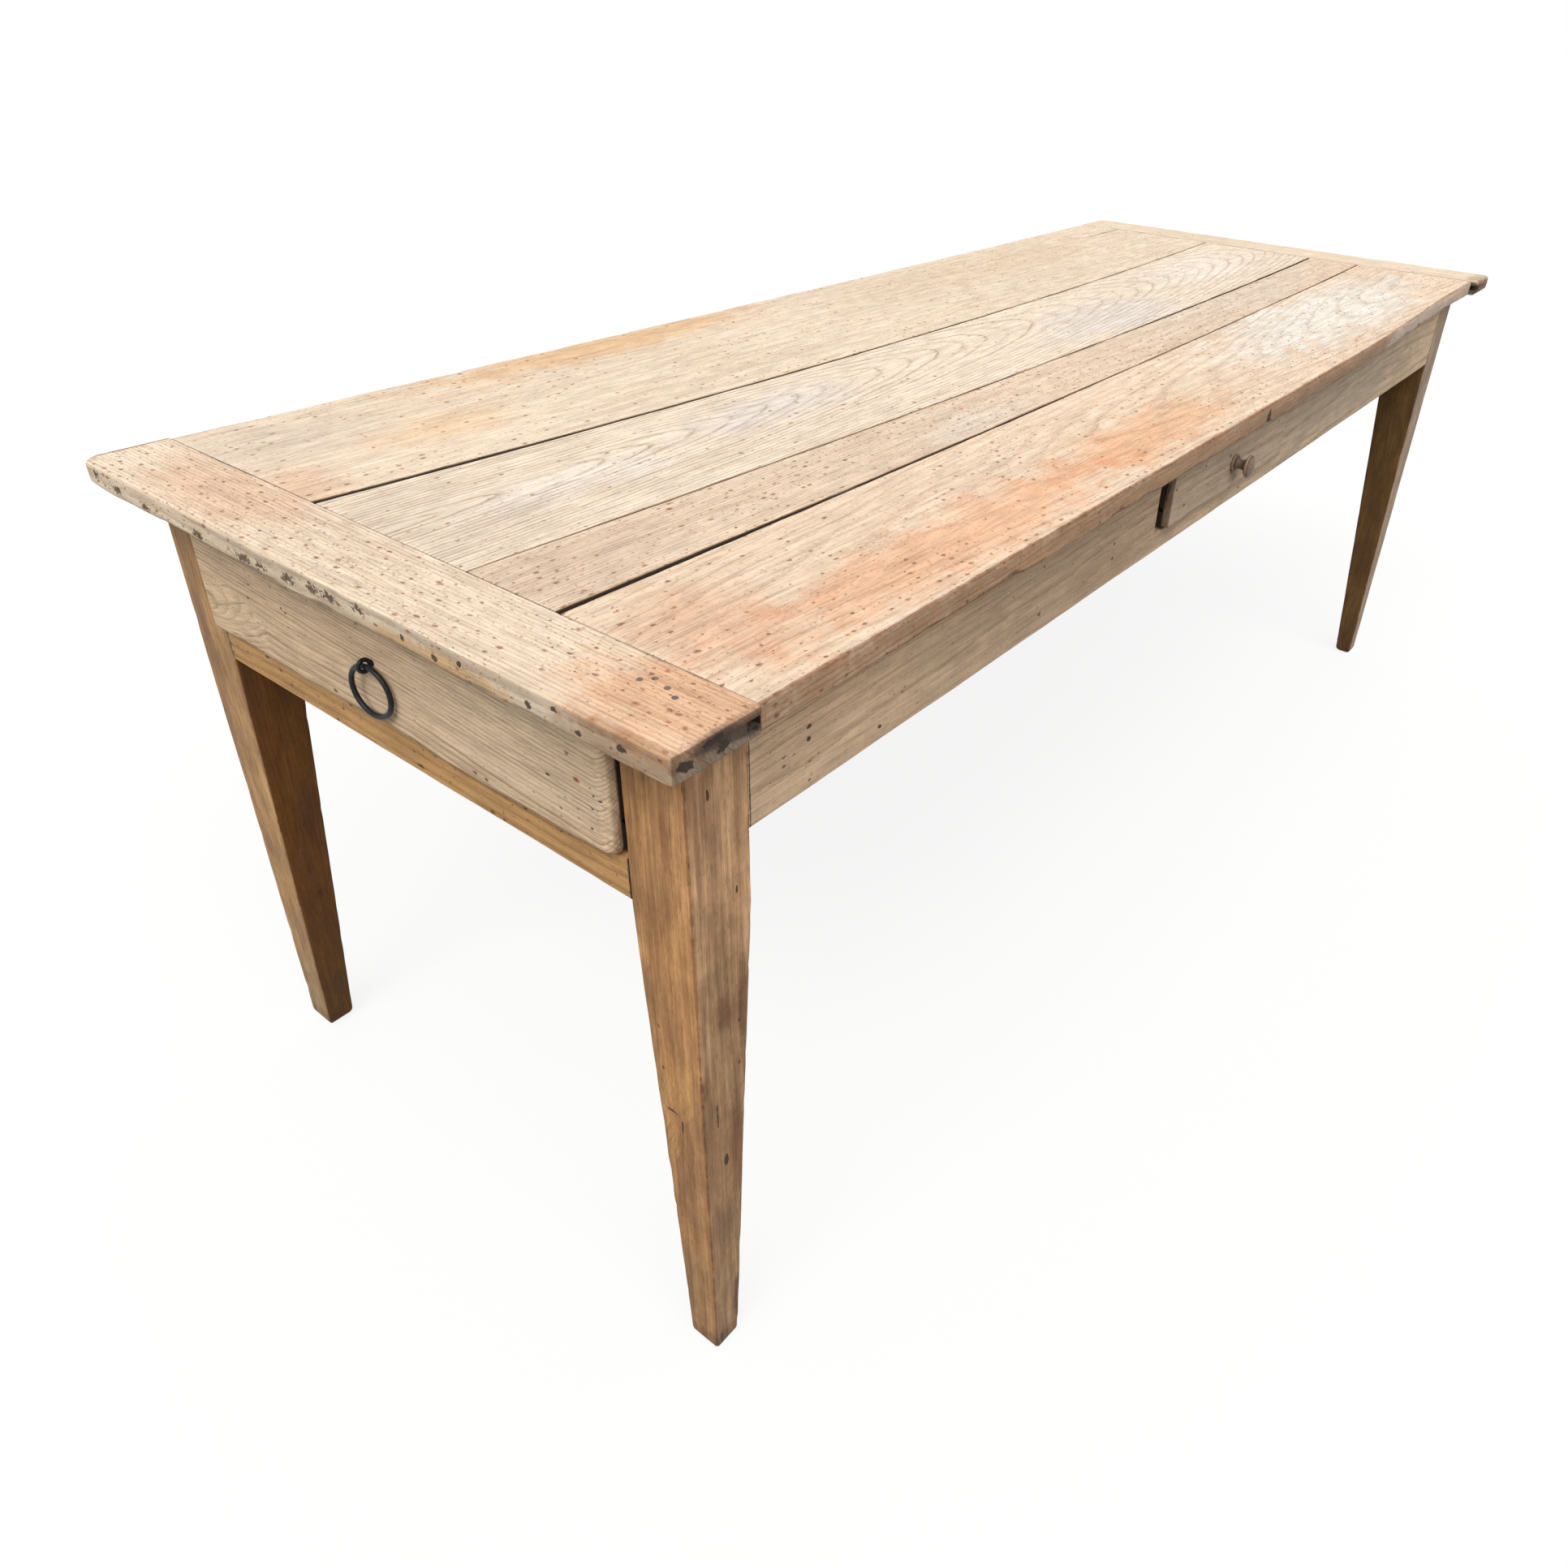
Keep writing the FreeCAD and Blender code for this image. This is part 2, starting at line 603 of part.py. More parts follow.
# Drawers, built with the front at -X from the local origin and turned into place.
# Local frame: X from the front face inwards, Y across, Z up.
def drawer(across, bottom, front_bottom, front_top, length, front_t, side_t, side_top, back_t,
           back_inset, back_drop, panel_t, panel_raise, tail_length, tail_count, tail_narrow,
           tail_wide, nail_count):
    y0, y1 = across
    front = box(0, front_t, y0, y1, front_bottom, front_top)
    front = rounded(front, front_edge_round, lambda e: abs(e.CenterOfMass.x) < same)
    low, high = max(bottom, front_bottom), min(side_top, front_top)
    pitch = (high - low) / tail_count
    panel_z0 = bottom + panel_raise
    panel_z1 = panel_z0 + panel_t
    back_x1 = length - back_inset
    back_x0 = back_x1 - back_t
    sides = []
    for inner, outer in ((y0 + side_t, y0), (y1 - side_t, y1)):
        s0, s1 = sorted((inner, outer))
        side = box(front_t, length, s0, s1, bottom, side_top)
        for i in range(tail_count):
            mid = low + (i + 0.5) * pitch
            for gap, shape in ((0.0, "tail"), (joint_clearance, "socket")):
                near_half = tail_narrow / 2 + gap
                far_half = tail_wide / 2 + gap
                end = front_t - tail_length - gap
                wide0, wide1 = (s0, s1) if shape == "tail" else (s0 - gap, s1 + gap)
                points = [V(front_t, wide0, mid - near_half), V(end, wide0, mid - far_half),
                          V(end, wide0, mid + far_half), V(front_t, wide0, mid + near_half)]
                solid = prism(points, V(0, wide1 - wide0, 0))
                if shape == "tail":
                    side = side.fuse(solid)
                else:
                    front = front.cut(solid)
        toward = 1 if inner > outer else -1
        g0, g1 = sorted((inner, inner - toward * (bottom_groove_depth + panel_clearance)))
        side = side.cut(box(front_t - tail_length - cut_past, length + cut_past, g0, g1,
                            panel_z0 - joint_clearance, panel_z1 + joint_clearance))
        h0, h1 = sorted((inner, inner - toward * (back_housing_depth + joint_clearance)))
        side = side.cut(box(back_x0 - joint_clearance, back_x1 + joint_clearance, h0, h1,
                            panel_z1, side_top + cut_past))
        sides.append(side.removeSplitter())
    p0 = y0 + side_t - bottom_groove_depth
    p1 = y1 - side_t + bottom_groove_depth
    front = front.cut(box(front_t - bottom_groove_depth - panel_clearance, front_t + cut_past,
                          p0 - panel_clearance, p1 + panel_clearance,
                          panel_z0 - joint_clearance, panel_z1 + joint_clearance))
    panel = box(front_t - bottom_groove_depth, back_x1, p0, p1, panel_z0, panel_z1)
    back = box(back_x0, back_x1, y0 + side_t - back_housing_depth,
               y1 - side_t + back_housing_depth, panel_z1, side_top - back_drop)
    nails = []
    for i in range(nail_count):
        y = p0 + (i + 0.5) * (p1 - p0) / nail_count
        at = ((back_x0 + back_x1) / 2, y, panel_z0 - bottom_nail_head_height, 1, bottom_nail_length,
              bottom_nail_diameter, bottom_nail_head_diameter, bottom_nail_head_height)
        nails.append(pin(*at))
        hole = Part.makeCylinder(bottom_nail_diameter / 2 + pin_clearance, bottom_nail_length + cut_past,
                                 V(at[0], y, at[2]), V(0, 0, 1))
        panel = panel.cut(hole)
        back = back.cut(hole)
    return front, sides[0], sides[1], back, panel, nails


def placed(shape, turn, move):
    shape = shape.copy()
    shape.rotate(V(0, 0, 0), V(0, 0, 1), turn)
    shape.translate(move)
    return shape


# End drawer with its ring pull
front, side_a, side_b, back, panel, nails = drawer(
    across=(end_front_y0, end_front_y1), bottom=rail_top + slide_clearance,
    front_bottom=end_front_bottom, front_top=under - end_front_top_gap,
    length=end_drawer_length, front_t=end_front_thickness, side_t=end_side_thickness,
    side_top=under - end_side_top_gap, back_t=end_back_thickness, back_inset=end_back_inset,
    back_drop=end_back_top_drop, panel_t=end_bottom_thickness, panel_raise=end_bottom_raise,
    tail_length=end_tail_length, tail_count=end_tail_count, tail_narrow=end_tail_narrow,
    tail_wide=end_tail_wide, nail_count=end_nail_count)
move = V(end_drawer_x0, 0, 0)
pull_y = (end_front_y0 + end_front_y1) / 2 + pull_off_middle
pull_z = end_front_bottom + pull_height
pull_hole = Part.makeCylinder(shank_diameter / 2 + pin_clearance, end_front_thickness + 2 * cut_past,
                              V(end_drawer_x0 - cut_past, pull_y, pull_z), V(1, 0, 0))
save("end_drawer_front", placed(front, 0, move).cut(pull_hole))
save("end_drawer_side_front", placed(side_a, 0, move))
save("end_drawer_side_back", placed(side_b, 0, move))
save("end_drawer_back", placed(back, 0, move))
save("end_drawer_bottom", placed(panel, 0, move))
save_group("end_drawer_nails", [placed(nail, 0, move) for nail in nails])

pull_x = end_drawer_x0 - pull_stand_off
front_in_x = end_drawer_x0 + end_front_thickness
nut_x0 = front_in_x + washer_thickness
shank_x1 = nut_x0 + nut_thickness + shank_past_nut
eye = Part.makeTorus(eye_radius, eye_wire / 2, V(pull_x, pull_y, pull_z), V(0, 1, 0))
shank = Part.makeCylinder(shank_diameter / 2, shank_x1 - pull_x - eye_radius,
                          V(pull_x + eye_radius, pull_y, pull_z), V(1, 0, 0))
save("eyebolt", eye.fuse(shank))
bolt_hole_length = nut_thickness + washer_thickness + 2 * cut_past
bolt_hole = Part.makeCylinder(shank_diameter / 2 + pin_clearance, bolt_hole_length,
                              V(front_in_x - cut_past, pull_y, pull_z), V(1, 0, 0))
washer = Part.makeCylinder(washer_diameter / 2, washer_thickness,
                           V(front_in_x, pull_y, pull_z), V(1, 0, 0))
save("eyebolt_washer", washer.cut(bolt_hole))
nut = box(nut_x0, nut_x0 + nut_thickness, pull_y - nut_width / 2, pull_y + nut_width / 2,
          pull_z - nut_width / 2, pull_z + nut_width / 2)
save("eyebolt_nut", nut.cut(bolt_hole))

# Ring: a short straight bar that hangs in the bottom of the eye, the rest of a circle below it, turned a little as in
# the photo, with one side nearer to the drawer
ring_z = pull_z - (eye_radius - eye_wire / 2 - ring_wire / 2 - ring_play)
ring_drop = math.sqrt(ring_radius ** 2 - ring_straight_half ** 2)
ring_mid = V(pull_x, pull_y, ring_z - ring_drop)
open_half = math.degrees(math.asin(ring_straight_half / ring_radius))
bar = Part.makeCylinder(ring_wire / 2, 2 * ring_straight_half,
                        V(pull_x, pull_y - ring_straight_half, ring_z), V(0, 1, 0))
start = V(pull_x, pull_y + ring_straight_half, ring_z)
tangent = V(1, 0, 0).cross(start - ring_mid)
section = Part.Face(Part.Wire(Part.makeCircle(ring_wire / 2, start, tangent)))
arc = section.revolve(ring_mid, V(-1, 0, 0), 360 - 2 * open_half)
corners = [Part.makeSphere(ring_wire / 2, V(pull_x, pull_y + s * ring_straight_half, ring_z))
           for s in (-1, 1)]
ring = bar.fuse([arc] + corners)
ring.rotate(V(pull_x, pull_y, ring_z), V(0, 0, 1), ring_turn)
save("ring", ring)

# Side drawer with its turned knob
front, side_a, side_b, back, panel, nails = drawer(
    across=(-side_front_x1, -side_front_x0), bottom=side_opening_bottom + slide_clearance,
    front_bottom=side_opening_bottom + side_front_bottom_gap, front_top=under - side_front_top_gap,
    length=side_drawer_length, front_t=side_front_thickness, side_t=side_side_thickness,
    side_top=under - side_side_top_gap, back_t=side_back_thickness, back_inset=side_back_inset,
    back_drop=side_back_top_drop, panel_t=side_bottom_thickness, panel_raise=side_bottom_raise,
    tail_length=side_tail_length, tail_count=side_tail_count, tail_narrow=side_tail_narrow,
    tail_wide=side_tail_wide, nail_count=side_nail_count)
move = V(0, side_drawer_y0, 0)
knob_x = (side_front_x0 + side_front_x1) / 2
knob_z = side_opening_bottom + side_front_bottom_gap + knob_height
spigot_hole_length = side_front_thickness + 2 * cut_past
spigot_hole = Part.makeCylinder(knob_spigot_diameter / 2 + pin_clearance, spigot_hole_length,
                                V(knob_x, side_drawer_y0 - cut_past, knob_z), V(0, 1, 0))
save("side_drawer_front", placed(front, 90, move).cut(spigot_hole))
save("side_drawer_side_far", placed(side_a, 90, move))
save("side_drawer_side_near", placed(side_b, 90, move))
save("side_drawer_back", placed(back, 90, move))
save("side_drawer_bottom", placed(panel, 90, move))
save_group("side_drawer_nails", [placed(nail, 90, move) for nail in nails])

outline = [(0, side_drawer_y0 + side_front_thickness),
           (knob_spigot_diameter / 2, side_drawer_y0 + side_front_thickness),
           (knob_spigot_diameter / 2, side_drawer_y0), (knob_base_diameter / 2, side_drawer_y0),
           (knob_base_diameter / 2, side_drawer_y0 - knob_base_height)]
neck_y = side_drawer_y0 - knob_base_height - knob_neck_rise
head_y = neck_y - knob_head_rise
rim_y = head_y - knob_rim
tip = rim_y - knob_dome
head_radius = knob_head_diameter / 2
dome_radius = (head_radius ** 2 + knob_dome ** 2) / (2 * knob_dome)
dome_half = math.asin(head_radius / dome_radius) / 2
points = [V(knob_x + r, y, knob_z) for r, y in outline]
edges = [Part.makeLine(a, b) for a, b in zip(points, points[1:])]
head = V(knob_x + head_radius, head_y, knob_z)
rim = V(knob_x + head_radius, rim_y, knob_z)
end = V(knob_x, tip, knob_z)
waist = Part.Arc(points[-1], V(knob_x + knob_neck_diameter / 2, neck_y, knob_z), head).toShape()
dome_mid = V(knob_x + dome_radius * math.sin(dome_half),
             tip + dome_radius * (1 - math.cos(dome_half)), knob_z)
dome = Part.Arc(rim, dome_mid, end).toShape()
profile = Part.Face(Part.Wire(edges + [waist, Part.makeLine(head, rim), dome,
                                       Part.makeLine(end, points[0])]))
save("knob", profile.revolve(V(knob_x, 0, knob_z), V(0, 1, 0), 360))

# Fastenings
buttons = [drilled(button(*place), screw_holes) for place in button_places]
save_group("top_buttons", buttons)
save_group("button_screws", [screw(x, y) for x, y in screw_places])
save_group("corner_nails", [corner_nail(x, y) for x, y in nail_places])
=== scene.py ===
import json
import math
import random
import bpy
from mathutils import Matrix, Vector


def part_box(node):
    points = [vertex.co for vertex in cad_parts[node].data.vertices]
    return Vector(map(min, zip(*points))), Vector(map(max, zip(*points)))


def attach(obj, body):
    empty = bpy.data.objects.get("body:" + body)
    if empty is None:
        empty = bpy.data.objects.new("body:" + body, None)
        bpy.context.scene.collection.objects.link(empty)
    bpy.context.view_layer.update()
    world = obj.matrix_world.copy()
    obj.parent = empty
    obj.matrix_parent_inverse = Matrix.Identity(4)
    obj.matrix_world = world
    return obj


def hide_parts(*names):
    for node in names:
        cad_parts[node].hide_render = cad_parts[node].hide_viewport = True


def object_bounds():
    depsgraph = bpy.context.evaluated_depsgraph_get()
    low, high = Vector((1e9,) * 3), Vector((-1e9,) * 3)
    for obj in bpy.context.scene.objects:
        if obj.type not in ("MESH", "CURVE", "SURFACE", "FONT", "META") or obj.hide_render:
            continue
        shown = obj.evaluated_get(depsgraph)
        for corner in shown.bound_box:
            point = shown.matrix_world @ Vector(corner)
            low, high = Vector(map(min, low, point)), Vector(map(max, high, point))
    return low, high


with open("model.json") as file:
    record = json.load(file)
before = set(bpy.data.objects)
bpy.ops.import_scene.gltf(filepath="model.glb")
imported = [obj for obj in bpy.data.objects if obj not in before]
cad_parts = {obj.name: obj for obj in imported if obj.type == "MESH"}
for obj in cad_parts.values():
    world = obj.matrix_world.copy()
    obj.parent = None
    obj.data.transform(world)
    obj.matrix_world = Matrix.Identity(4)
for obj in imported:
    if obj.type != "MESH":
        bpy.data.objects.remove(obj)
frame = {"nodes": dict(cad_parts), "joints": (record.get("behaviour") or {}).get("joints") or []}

from types import SimpleNamespace

import bmesh
import bpy
from mathutils import Matrix, Vector, noise

# A fixed seed, so that every run gives the same meshes.
noise_seed = 11
noise.seed_set(noise_seed)
nodes = frame["nodes"]
cad_low, cad_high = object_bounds()

# Camera, worked out from the straight edges of the top, the frame and the legs.
picture_size = 1932
focal_pixels = 1449.9
middle_pixel = (1071.4, 886.3)
camera_place = Vector((-1.46676, -0.86326, 1.17150))
camera_azimuth = -53.72
camera_elevation = 31.80
camera_roll = 2.22
sensor_width = 36.0

# Light and floor
dome_horizon = 0.20
dome_zenith = 0.56
dome_colour = (1.0, 0.985, 0.965, 1)
lamp_colour = (1.0, 0.98, 0.95)
white = (1, 1, 1, 1)
floor_bounce = (0.11, 0.10, 0.09, 1)
floor_pale = (0.95, 0.95, 0.95, 1)
floor_shadow = 0.16
floor_drop = 0.0006
floor_reach = 30

# The top: where each joint between planks runs, by its y at the near end, the middle and the far end.
joint_lines = {"a": (0.142, 0.100, 0.124), "b": (-0.082, -0.104, -0.090), "c": (-0.194, -0.198, -0.182)}
joint_gaps = {"a": (0.0054, 0.0018, 0.0008), "b": (0.0013, 0.0024, 0.0045), "c": (0.0056, 0.0010, 0.0010)}
least_gap = 0.0006
back_line = (0.4030, 0.3975, 0.4010)
top_height = 0.76
top_low = 0.0004
breadboard_gap = 0.0006
tongue_low = 0.744
tongue_high = 0.752
tongue_length = 0.0125
tongue_end_set = 0.016
tongue_play = 0.0005
groove_depth = 0.014
# The grooved side of a breadboard and the sides of open joints, to this reach, are darkened: painted shade,
# with some soiling.
groove_dirt_and_shade = 0.85
joint_dirt_and_shade_reach = 0.003
plank_end_ease = 0.0012
plank_end_drop = 0.0009
front_wear_from = 0.30
front_wear_to = 0.84
front_wear = 0.015
near_board_corner = 0.016
far_board_short = 0.006

# Frame and drawers
leg_square_from = 0.552
feet = {"leg_near_front": (0.030, 0.035), "leg_near_back": (0.032, 0.040),
        "leg_far_front": (0.029, 0.029), "leg_far_back": (0.030, 0.036)}
foot_round = 0.012
into_leg = 0.001
drawer_opening = (-0.246, 0.126)
drawer_sill = 0.645
end_front_corners = (0.013, 0.009)
side_front_corners = (0.0026, 0.004)
ring_radius = 0.0244
ring_wire = 0.0027
ring_turn = math.radians(6.4)
ring_slide = math.radians(5.0)

# Mesh fineness
arc_steps = 4
support_gap = 0.002
smooth_angle = math.radians(42)
ring_rows = 96
ring_sides = 18
step_apart = 1e-5
end_arris = 0.7
least_left = 0.8


# Mesh helpers

def spread(start, end, count):
    """Points along one face; the outer two lie close to the arrises, so that the face shades flat."""
    near = start + math.copysign(min(support_gap, abs(end - start) / 4), end - start)
    far = end - (near - start)
    return [near + (far - near) * i / (count - 1) for i in range(count)]


def outline(a0, a1, b0, b1, radii, fill, groove):
    """Closed outline of a board: points (a, b), how much each belongs to an arris, and its face."""
    half = 0.49 * min(a1 - a0, b1 - b0)
    r = [min(radius, half) for radius in radii]
    corners = [(a0 + r[0], b0 + r[0], 180), (a1 - r[1], b0 + r[1], 270),
               (a1 - r[2], b1 - r[2], 0), (a0 + r[3], b1 - r[3], 90)]
    sides = [[(a, b0) for a in spread(a0 + r[0], a1 - r[1], fill[0])],
             [(a1, b) for b in spread(b0 + r[1], b1 - r[2], fill[1])],
             [(a, b1) for a in spread(a1 - r[2], a0 + r[3], fill[0])],
             [(a0, b) for b in spread(b1 - r[3], b0 + r[0], fill[1])]]
    if groove:
        side, low, high, depth = groove
        edge, inner = (a1, a1 - depth) if side == 1 else (a0, a0 + depth)
        cut = [(edge, low), (inner, low), (inner, high), (edge, high)]
        sides[side] = sides[side][:1] + (cut if side == 1 else cut[::-1]) + sides[side][-1:]
    points, arris, face = [], [], []
    for i, (mid_a, mid_b, turn) in enumerate(corners):
        for step in range(arc_steps + 1):
            angle = math.radians(turn + 90 * step / arc_steps)
            points.append((mid_a + r[i] * math.cos(angle), mid_b + r[i] * math.sin(angle)))
            arris.append(1.0 - abs(step / arc_steps - 0.5))
            face.append(None)
        points += sides[i]
        arris += [0.0] * len(sides[i])
        face += [i] * len(sides[i])
    return points, arris, face


def wander(u, fineness, row, column):
    """A slow wander between -1 and 1 along a line; row and column choose which one."""
    return noise.noise(Vector((u * fineness, row, column)))


def worn(base, vary, seed, chips=()):
    """Radius of an arris along a board: its base, a slow wander, and chips (place, reach, depth)."""
    def radius(u):
        uneven = wander(u, 8, seed * 7.3, 0.5) + 0.6 * wander(u, 34, seed * 3.1, 1.5)
        knocked = sum(depth * math.exp(-((u - place) / reach) ** 2) for place, reach, depth in chips)
        return max(0.0005, base * (1 + vary * uneven) + knocked)
    return radius


def chipped(base, vary, seed, start, end, count, reach, depth, also=()):
    """A worn arris with chips at random places from start to end, and also at given ones."""
    rng = random.Random(seed)
    chips = [(rng.uniform(start, end), reach * rng.uniform(0.5, 1.6), depth * rng.uniform(0.25, 1.0))
             for _ in range(count)]
    return worn(base, vary, seed, [*chips, *also])


def stations(start, end, step, round_start=0.0, round_end=0.0, also=()):
    """Places along a board with the inset of its section there, close together at rounded ends."""
    count = max(2, round((end - start) / step))
    places = {}
    for i in range(count + 1):
        u = start + (end - start) * i / count
        if start + round_start < u < end - round_end:
            places[u] = 0.0
    for edge, e, way in ((start, round_start, 1), (end, round_end, -1)):
        steps = 5 if e else 0
        for k in range(steps + 1):
            angle = math.pi / 2 * k / max(steps, 1)
            places[edge + way * e * (1 - math.cos(angle))] = e * (1 - math.sin(angle)) if e else 0.0
    for u in also:
        places.setdefault(u, 0.0)
    return sorted(places.items())


def round_stations(edge, way, radius, count=10):
    """Places close together along a rounded end."""
    return [edge + way * radius * (1 - math.cos(math.pi / 2 * k / count)) for k in range(count + 1)]


def corner_set(distance, radius):
    """How far a rounded corner lies behind the straight edge, at a distance from the end."""
    if distance >= radius:
        return 0.0
    return radius - math.sqrt(max(0.0, radius ** 2 - (radius - max(distance, 0.0)) ** 2))


def to_space(axis, u, a, b):
    """A point of a board, from its place along the board and in its section."""
    return {"x": Vector((u, a, b)), "y": Vector((a, u, b)), "z": Vector((a, b, u))}[axis]


def within_cad(point):
    """A point held inside the box of the solids."""
    return Vector([min(max(point[i], cad_low[i]), cad_high[i]) for i in range(3)])


def swept_faces(rows, size, closed=False):
    """Faces between rows of points; a sweep that doesn't close on itself gets a face at each end."""
    faces = []
    for i in range(rows if closed else rows - 1):
        here, there = size * i, size * ((i + 1) % rows)
        faces += [[here + k, here + (k + 1) % size, there + (k + 1) % size, there + k] for k in range(size)]
    if not closed:
        faces.append(list(range(size))[::-1])
        faces.append([size * (rows - 1) + k for k in range(size)])
    return faces


def make_piece(name, points, faces, marks, material, body, replaced):
    """A mesh object with shared normals, its marks of wear and of painted shade with some soiling, its
    material, and the body that it rides on.
    """
    mesh = bpy.data.meshes.new(name)
    mesh.from_pydata(points, [], faces)
    bm = bmesh.new()
    bm.from_mesh(mesh)
    bmesh.ops.recalc_face_normals(bm, faces=bm.faces)
    bm.to_mesh(mesh)
    bm.free()
    for label, values in marks.items():
        mesh.attributes.new(label, "FLOAT", "POINT").data.foreach_set("value", values)
    mesh.shade_smooth()
    mesh.set_sharp_from_angle(angle=smooth_angle)
    mesh.materials.append(material)
    obj = bpy.data.objects.new(name, mesh)
    bpy.context.collection.objects.link(obj)
    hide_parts(*replaced)
    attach(obj, body)
    return obj


def board(node, axis, places, limits, arrises, material, fill, seed,
          body="table", groove=None, dirt=None, uneven=0.0003):
    """A board swept along its grain: limits(u) gives its section, arrises its four worn corners.

    The section has a and b as its two other axes, and its corners run from low a and low b round by high a.
    """
    points, marks = [], {"arris": [], "dirt": []}
    for u, inset in places:
        a0, a1, b0, b1 = limits(u)
        section, arris, face = outline(a0 + inset, a1 - inset, b0 + inset, b1 - inset,
                                       [radius(u) for radius in arrises], fill, groove)
        for (a, b), on_arris, side in zip(section, arris, face):
            point = to_space(axis, u, a, b)
            shift = noise.noise_vector(point * 9 + Vector((seed, 0, 0))) * uneven
            shift += noise.noise_vector(point * 45 + Vector((0, seed, 0))) * uneven * 0.5
            points.append(within_cad(point + shift))
            marks["arris"].append(max(on_arris, end_arris if inset > 0 else 0.0))
            marks["dirt"].append(dirt(u, side, a, b) if dirt else 0.0)
    faces = swept_faces(len(places), len(section))
    return make_piece("oak_" + node, points, faces, marks, material, body, [node])


def turned(name, origin, way, profile, material, body, replaced, segments=48, rough=0.01, seed=1):
    """A turned piece about an axis square to X: profile rows give distance, radius, arris, and a darkening
    that is painted shade with some soiling.
    """
    side = Vector((1, 0, 0))
    up = way.cross(side)
    points, marks = [], {"arris": [], "dirt": []}
    for distance, radius, arris, dirt in profile:
        for k in range(segments):
            angle = 2 * math.pi * k / segments
            out = side * math.cos(angle) + up * math.sin(angle)
            even = origin + way * distance + out * radius
            swell = 1 + rough * noise.noise(even * 160 + Vector((seed, 0, 0)))
            points.append(origin + way * distance + out * radius * swell)
            marks["arris"].append(arris)
            marks["dirt"].append(dirt)
    faces = swept_faces(len(profile), segments)
    return make_piece(name, points, faces, marks, material, body, replaced)


# Shader helpers

class Value:
    """An output of a node; sums with it add Math nodes to the same tree."""

    def __init__(self, socket):
        self.socket = socket
        self.tree = socket.id_data

    def __add__(self, other):
        return calc("ADD", self, other)

    def __sub__(self, other):
        return calc("SUBTRACT", self, other)

    def __rsub__(self, other):
        return calc("SUBTRACT", other, self)

    def __mul__(self, other):
        return calc("MULTIPLY", self, other)

    def __truediv__(self, other):
        return calc("DIVIDE", self, other)


class Outputs:
    """The outputs of a node, by name or number."""

    def __init__(self, node):
        self.node = node

    def __getitem__(self, key):
        return Value(self.node.outputs[key])


def add(kind, inputs, tree=None, **settings):
    """A node with its settings; each input is set to a number or colour, or linked to another output."""
    tree = tree or next(value.tree for value in inputs.values() if isinstance(value, Value))
    node = tree.nodes.new(kind)
    for key, value in settings.items():
        setattr(node, key, value)
    for key, value in inputs.items():
        if isinstance(value, Value):
            tree.links.new(value.socket, node.inputs[key])
        else:
            node.inputs[key].default_value = value
    return Outputs(node)


def calc(operation, first, second=0.0, clamp=False):
    return add("ShaderNodeMath", {0: first, 1: second}, operation=operation, use_clamp=clamp)[0]


def vector_calc(operation, first, second):
    return add("ShaderNodeVectorMath", {0: first, 1: second}, operation=operation)[0]


def scaled(vector, along, across):
    """A place, scaled along the grain and across it."""
    return vector_calc("MULTIPLY", vector, (along, across, across))


def parts(vector):
    return add("ShaderNodeSeparateXYZ", {0: vector})


def grainy(vector, scale, detail=3.0, rough=0.55):
    inputs = {"Vector": vector, "Scale": scale, "Detail": detail, "Roughness": rough}
    return add("ShaderNodeTexNoise", inputs)["Fac"]


def streaky(vector, along, across, detail, rough=0.55):
    """Noise drawn out along the grain."""
    return grainy(scaled(vector, along, across), 1.0, detail, rough)


def between(value, low, high, to_low=0.0, to_high=1.0):
    """A value mapped from low..high to to_low..to_high, held at the ends."""
    inputs = {"Value": value, "From Min": low, "From Max": high, "To Min": to_low, "To Max": to_high}
    return add("ShaderNodeMapRange", inputs, interpolation_type="SMOOTHSTEP")["Result"]


def blend(factor, first, second, kind="MIX"):
    return add("ShaderNodeMix", {0: factor, 6: first, 7: second}, data_type="RGBA", blend_type=kind)[2]


def tint(colour, share=1.0):
    return (*(part * share for part in colour), 1.0)


def shaded(mask, colour, shade):
    """A colour that is multiplied by a shade where the mask says so."""
    return blend(mask, colour, blend(1.0, colour, tint(shade), "MULTIPLY"))


def mark(tree, name):
    """A wear mark of the mesh."""
    return add("ShaderNodeAttribute", {}, tree, attribute_name=name)["Fac"]


def new_group(name, vectors, values, outputs):
    """A node group, what it is given, and a function that links one of its outputs."""
    group = bpy.data.node_groups.new(name, "ShaderNodeTree")
    for label in vectors:
        group.interface.new_socket(label, in_out="INPUT", socket_type="NodeSocketVector")
    for label, default in values.items():
        socket = group.interface.new_socket(label, in_out="INPUT", socket_type="NodeSocketFloat")
        socket.default_value = default
    for label in outputs:
        group.interface.new_socket(label, in_out="OUTPUT", socket_type="NodeSocketFloat")
    given = add("NodeGroupInput", {}, group)
    end = group.nodes.new("NodeGroupOutput")

    def give(label, value):
        group.links.new(value.socket, end.inputs[label])
    return group, given, give


def place_group(group, inputs):
    return add("ShaderNodeGroup", inputs, node_tree=group)


def scattered(x, y):
    """One random point in each cell of a loose mesh: the place, the points, and each cell's own numbers."""
    cell = add("ShaderNodeCombineXYZ", {0: x, 1: y})[0]
    inputs = {"Vector": cell, "Scale": 1.0, "Randomness": 1.0}
    points = add("ShaderNodeTexVoronoi", inputs, voronoi_dimensions="2D")
    return cell, points, add("ShaderNodeSeparateColor", {0: points["Color"]})


def dashes(along, side, length, width, sparse):
    """Short furrows along the grain, pointed at both ends, and the number of the cell that each lies in."""
    cell, points, own = scattered(along / (length * 1.25), side / (width * sparse))
    off = parts(vector_calc("SUBTRACT", cell, points["Position"]))
    run_out = off[0] / (own[1] * 0.40 + 0.12)
    taper = 1.0 - run_out * run_out
    aside = calc("ABSOLUTE", off[1] * (sparse * 2.0))
    return calc("MULTIPLY", taper - aside, 1.8, clamp=True), own[0]


# Node groups

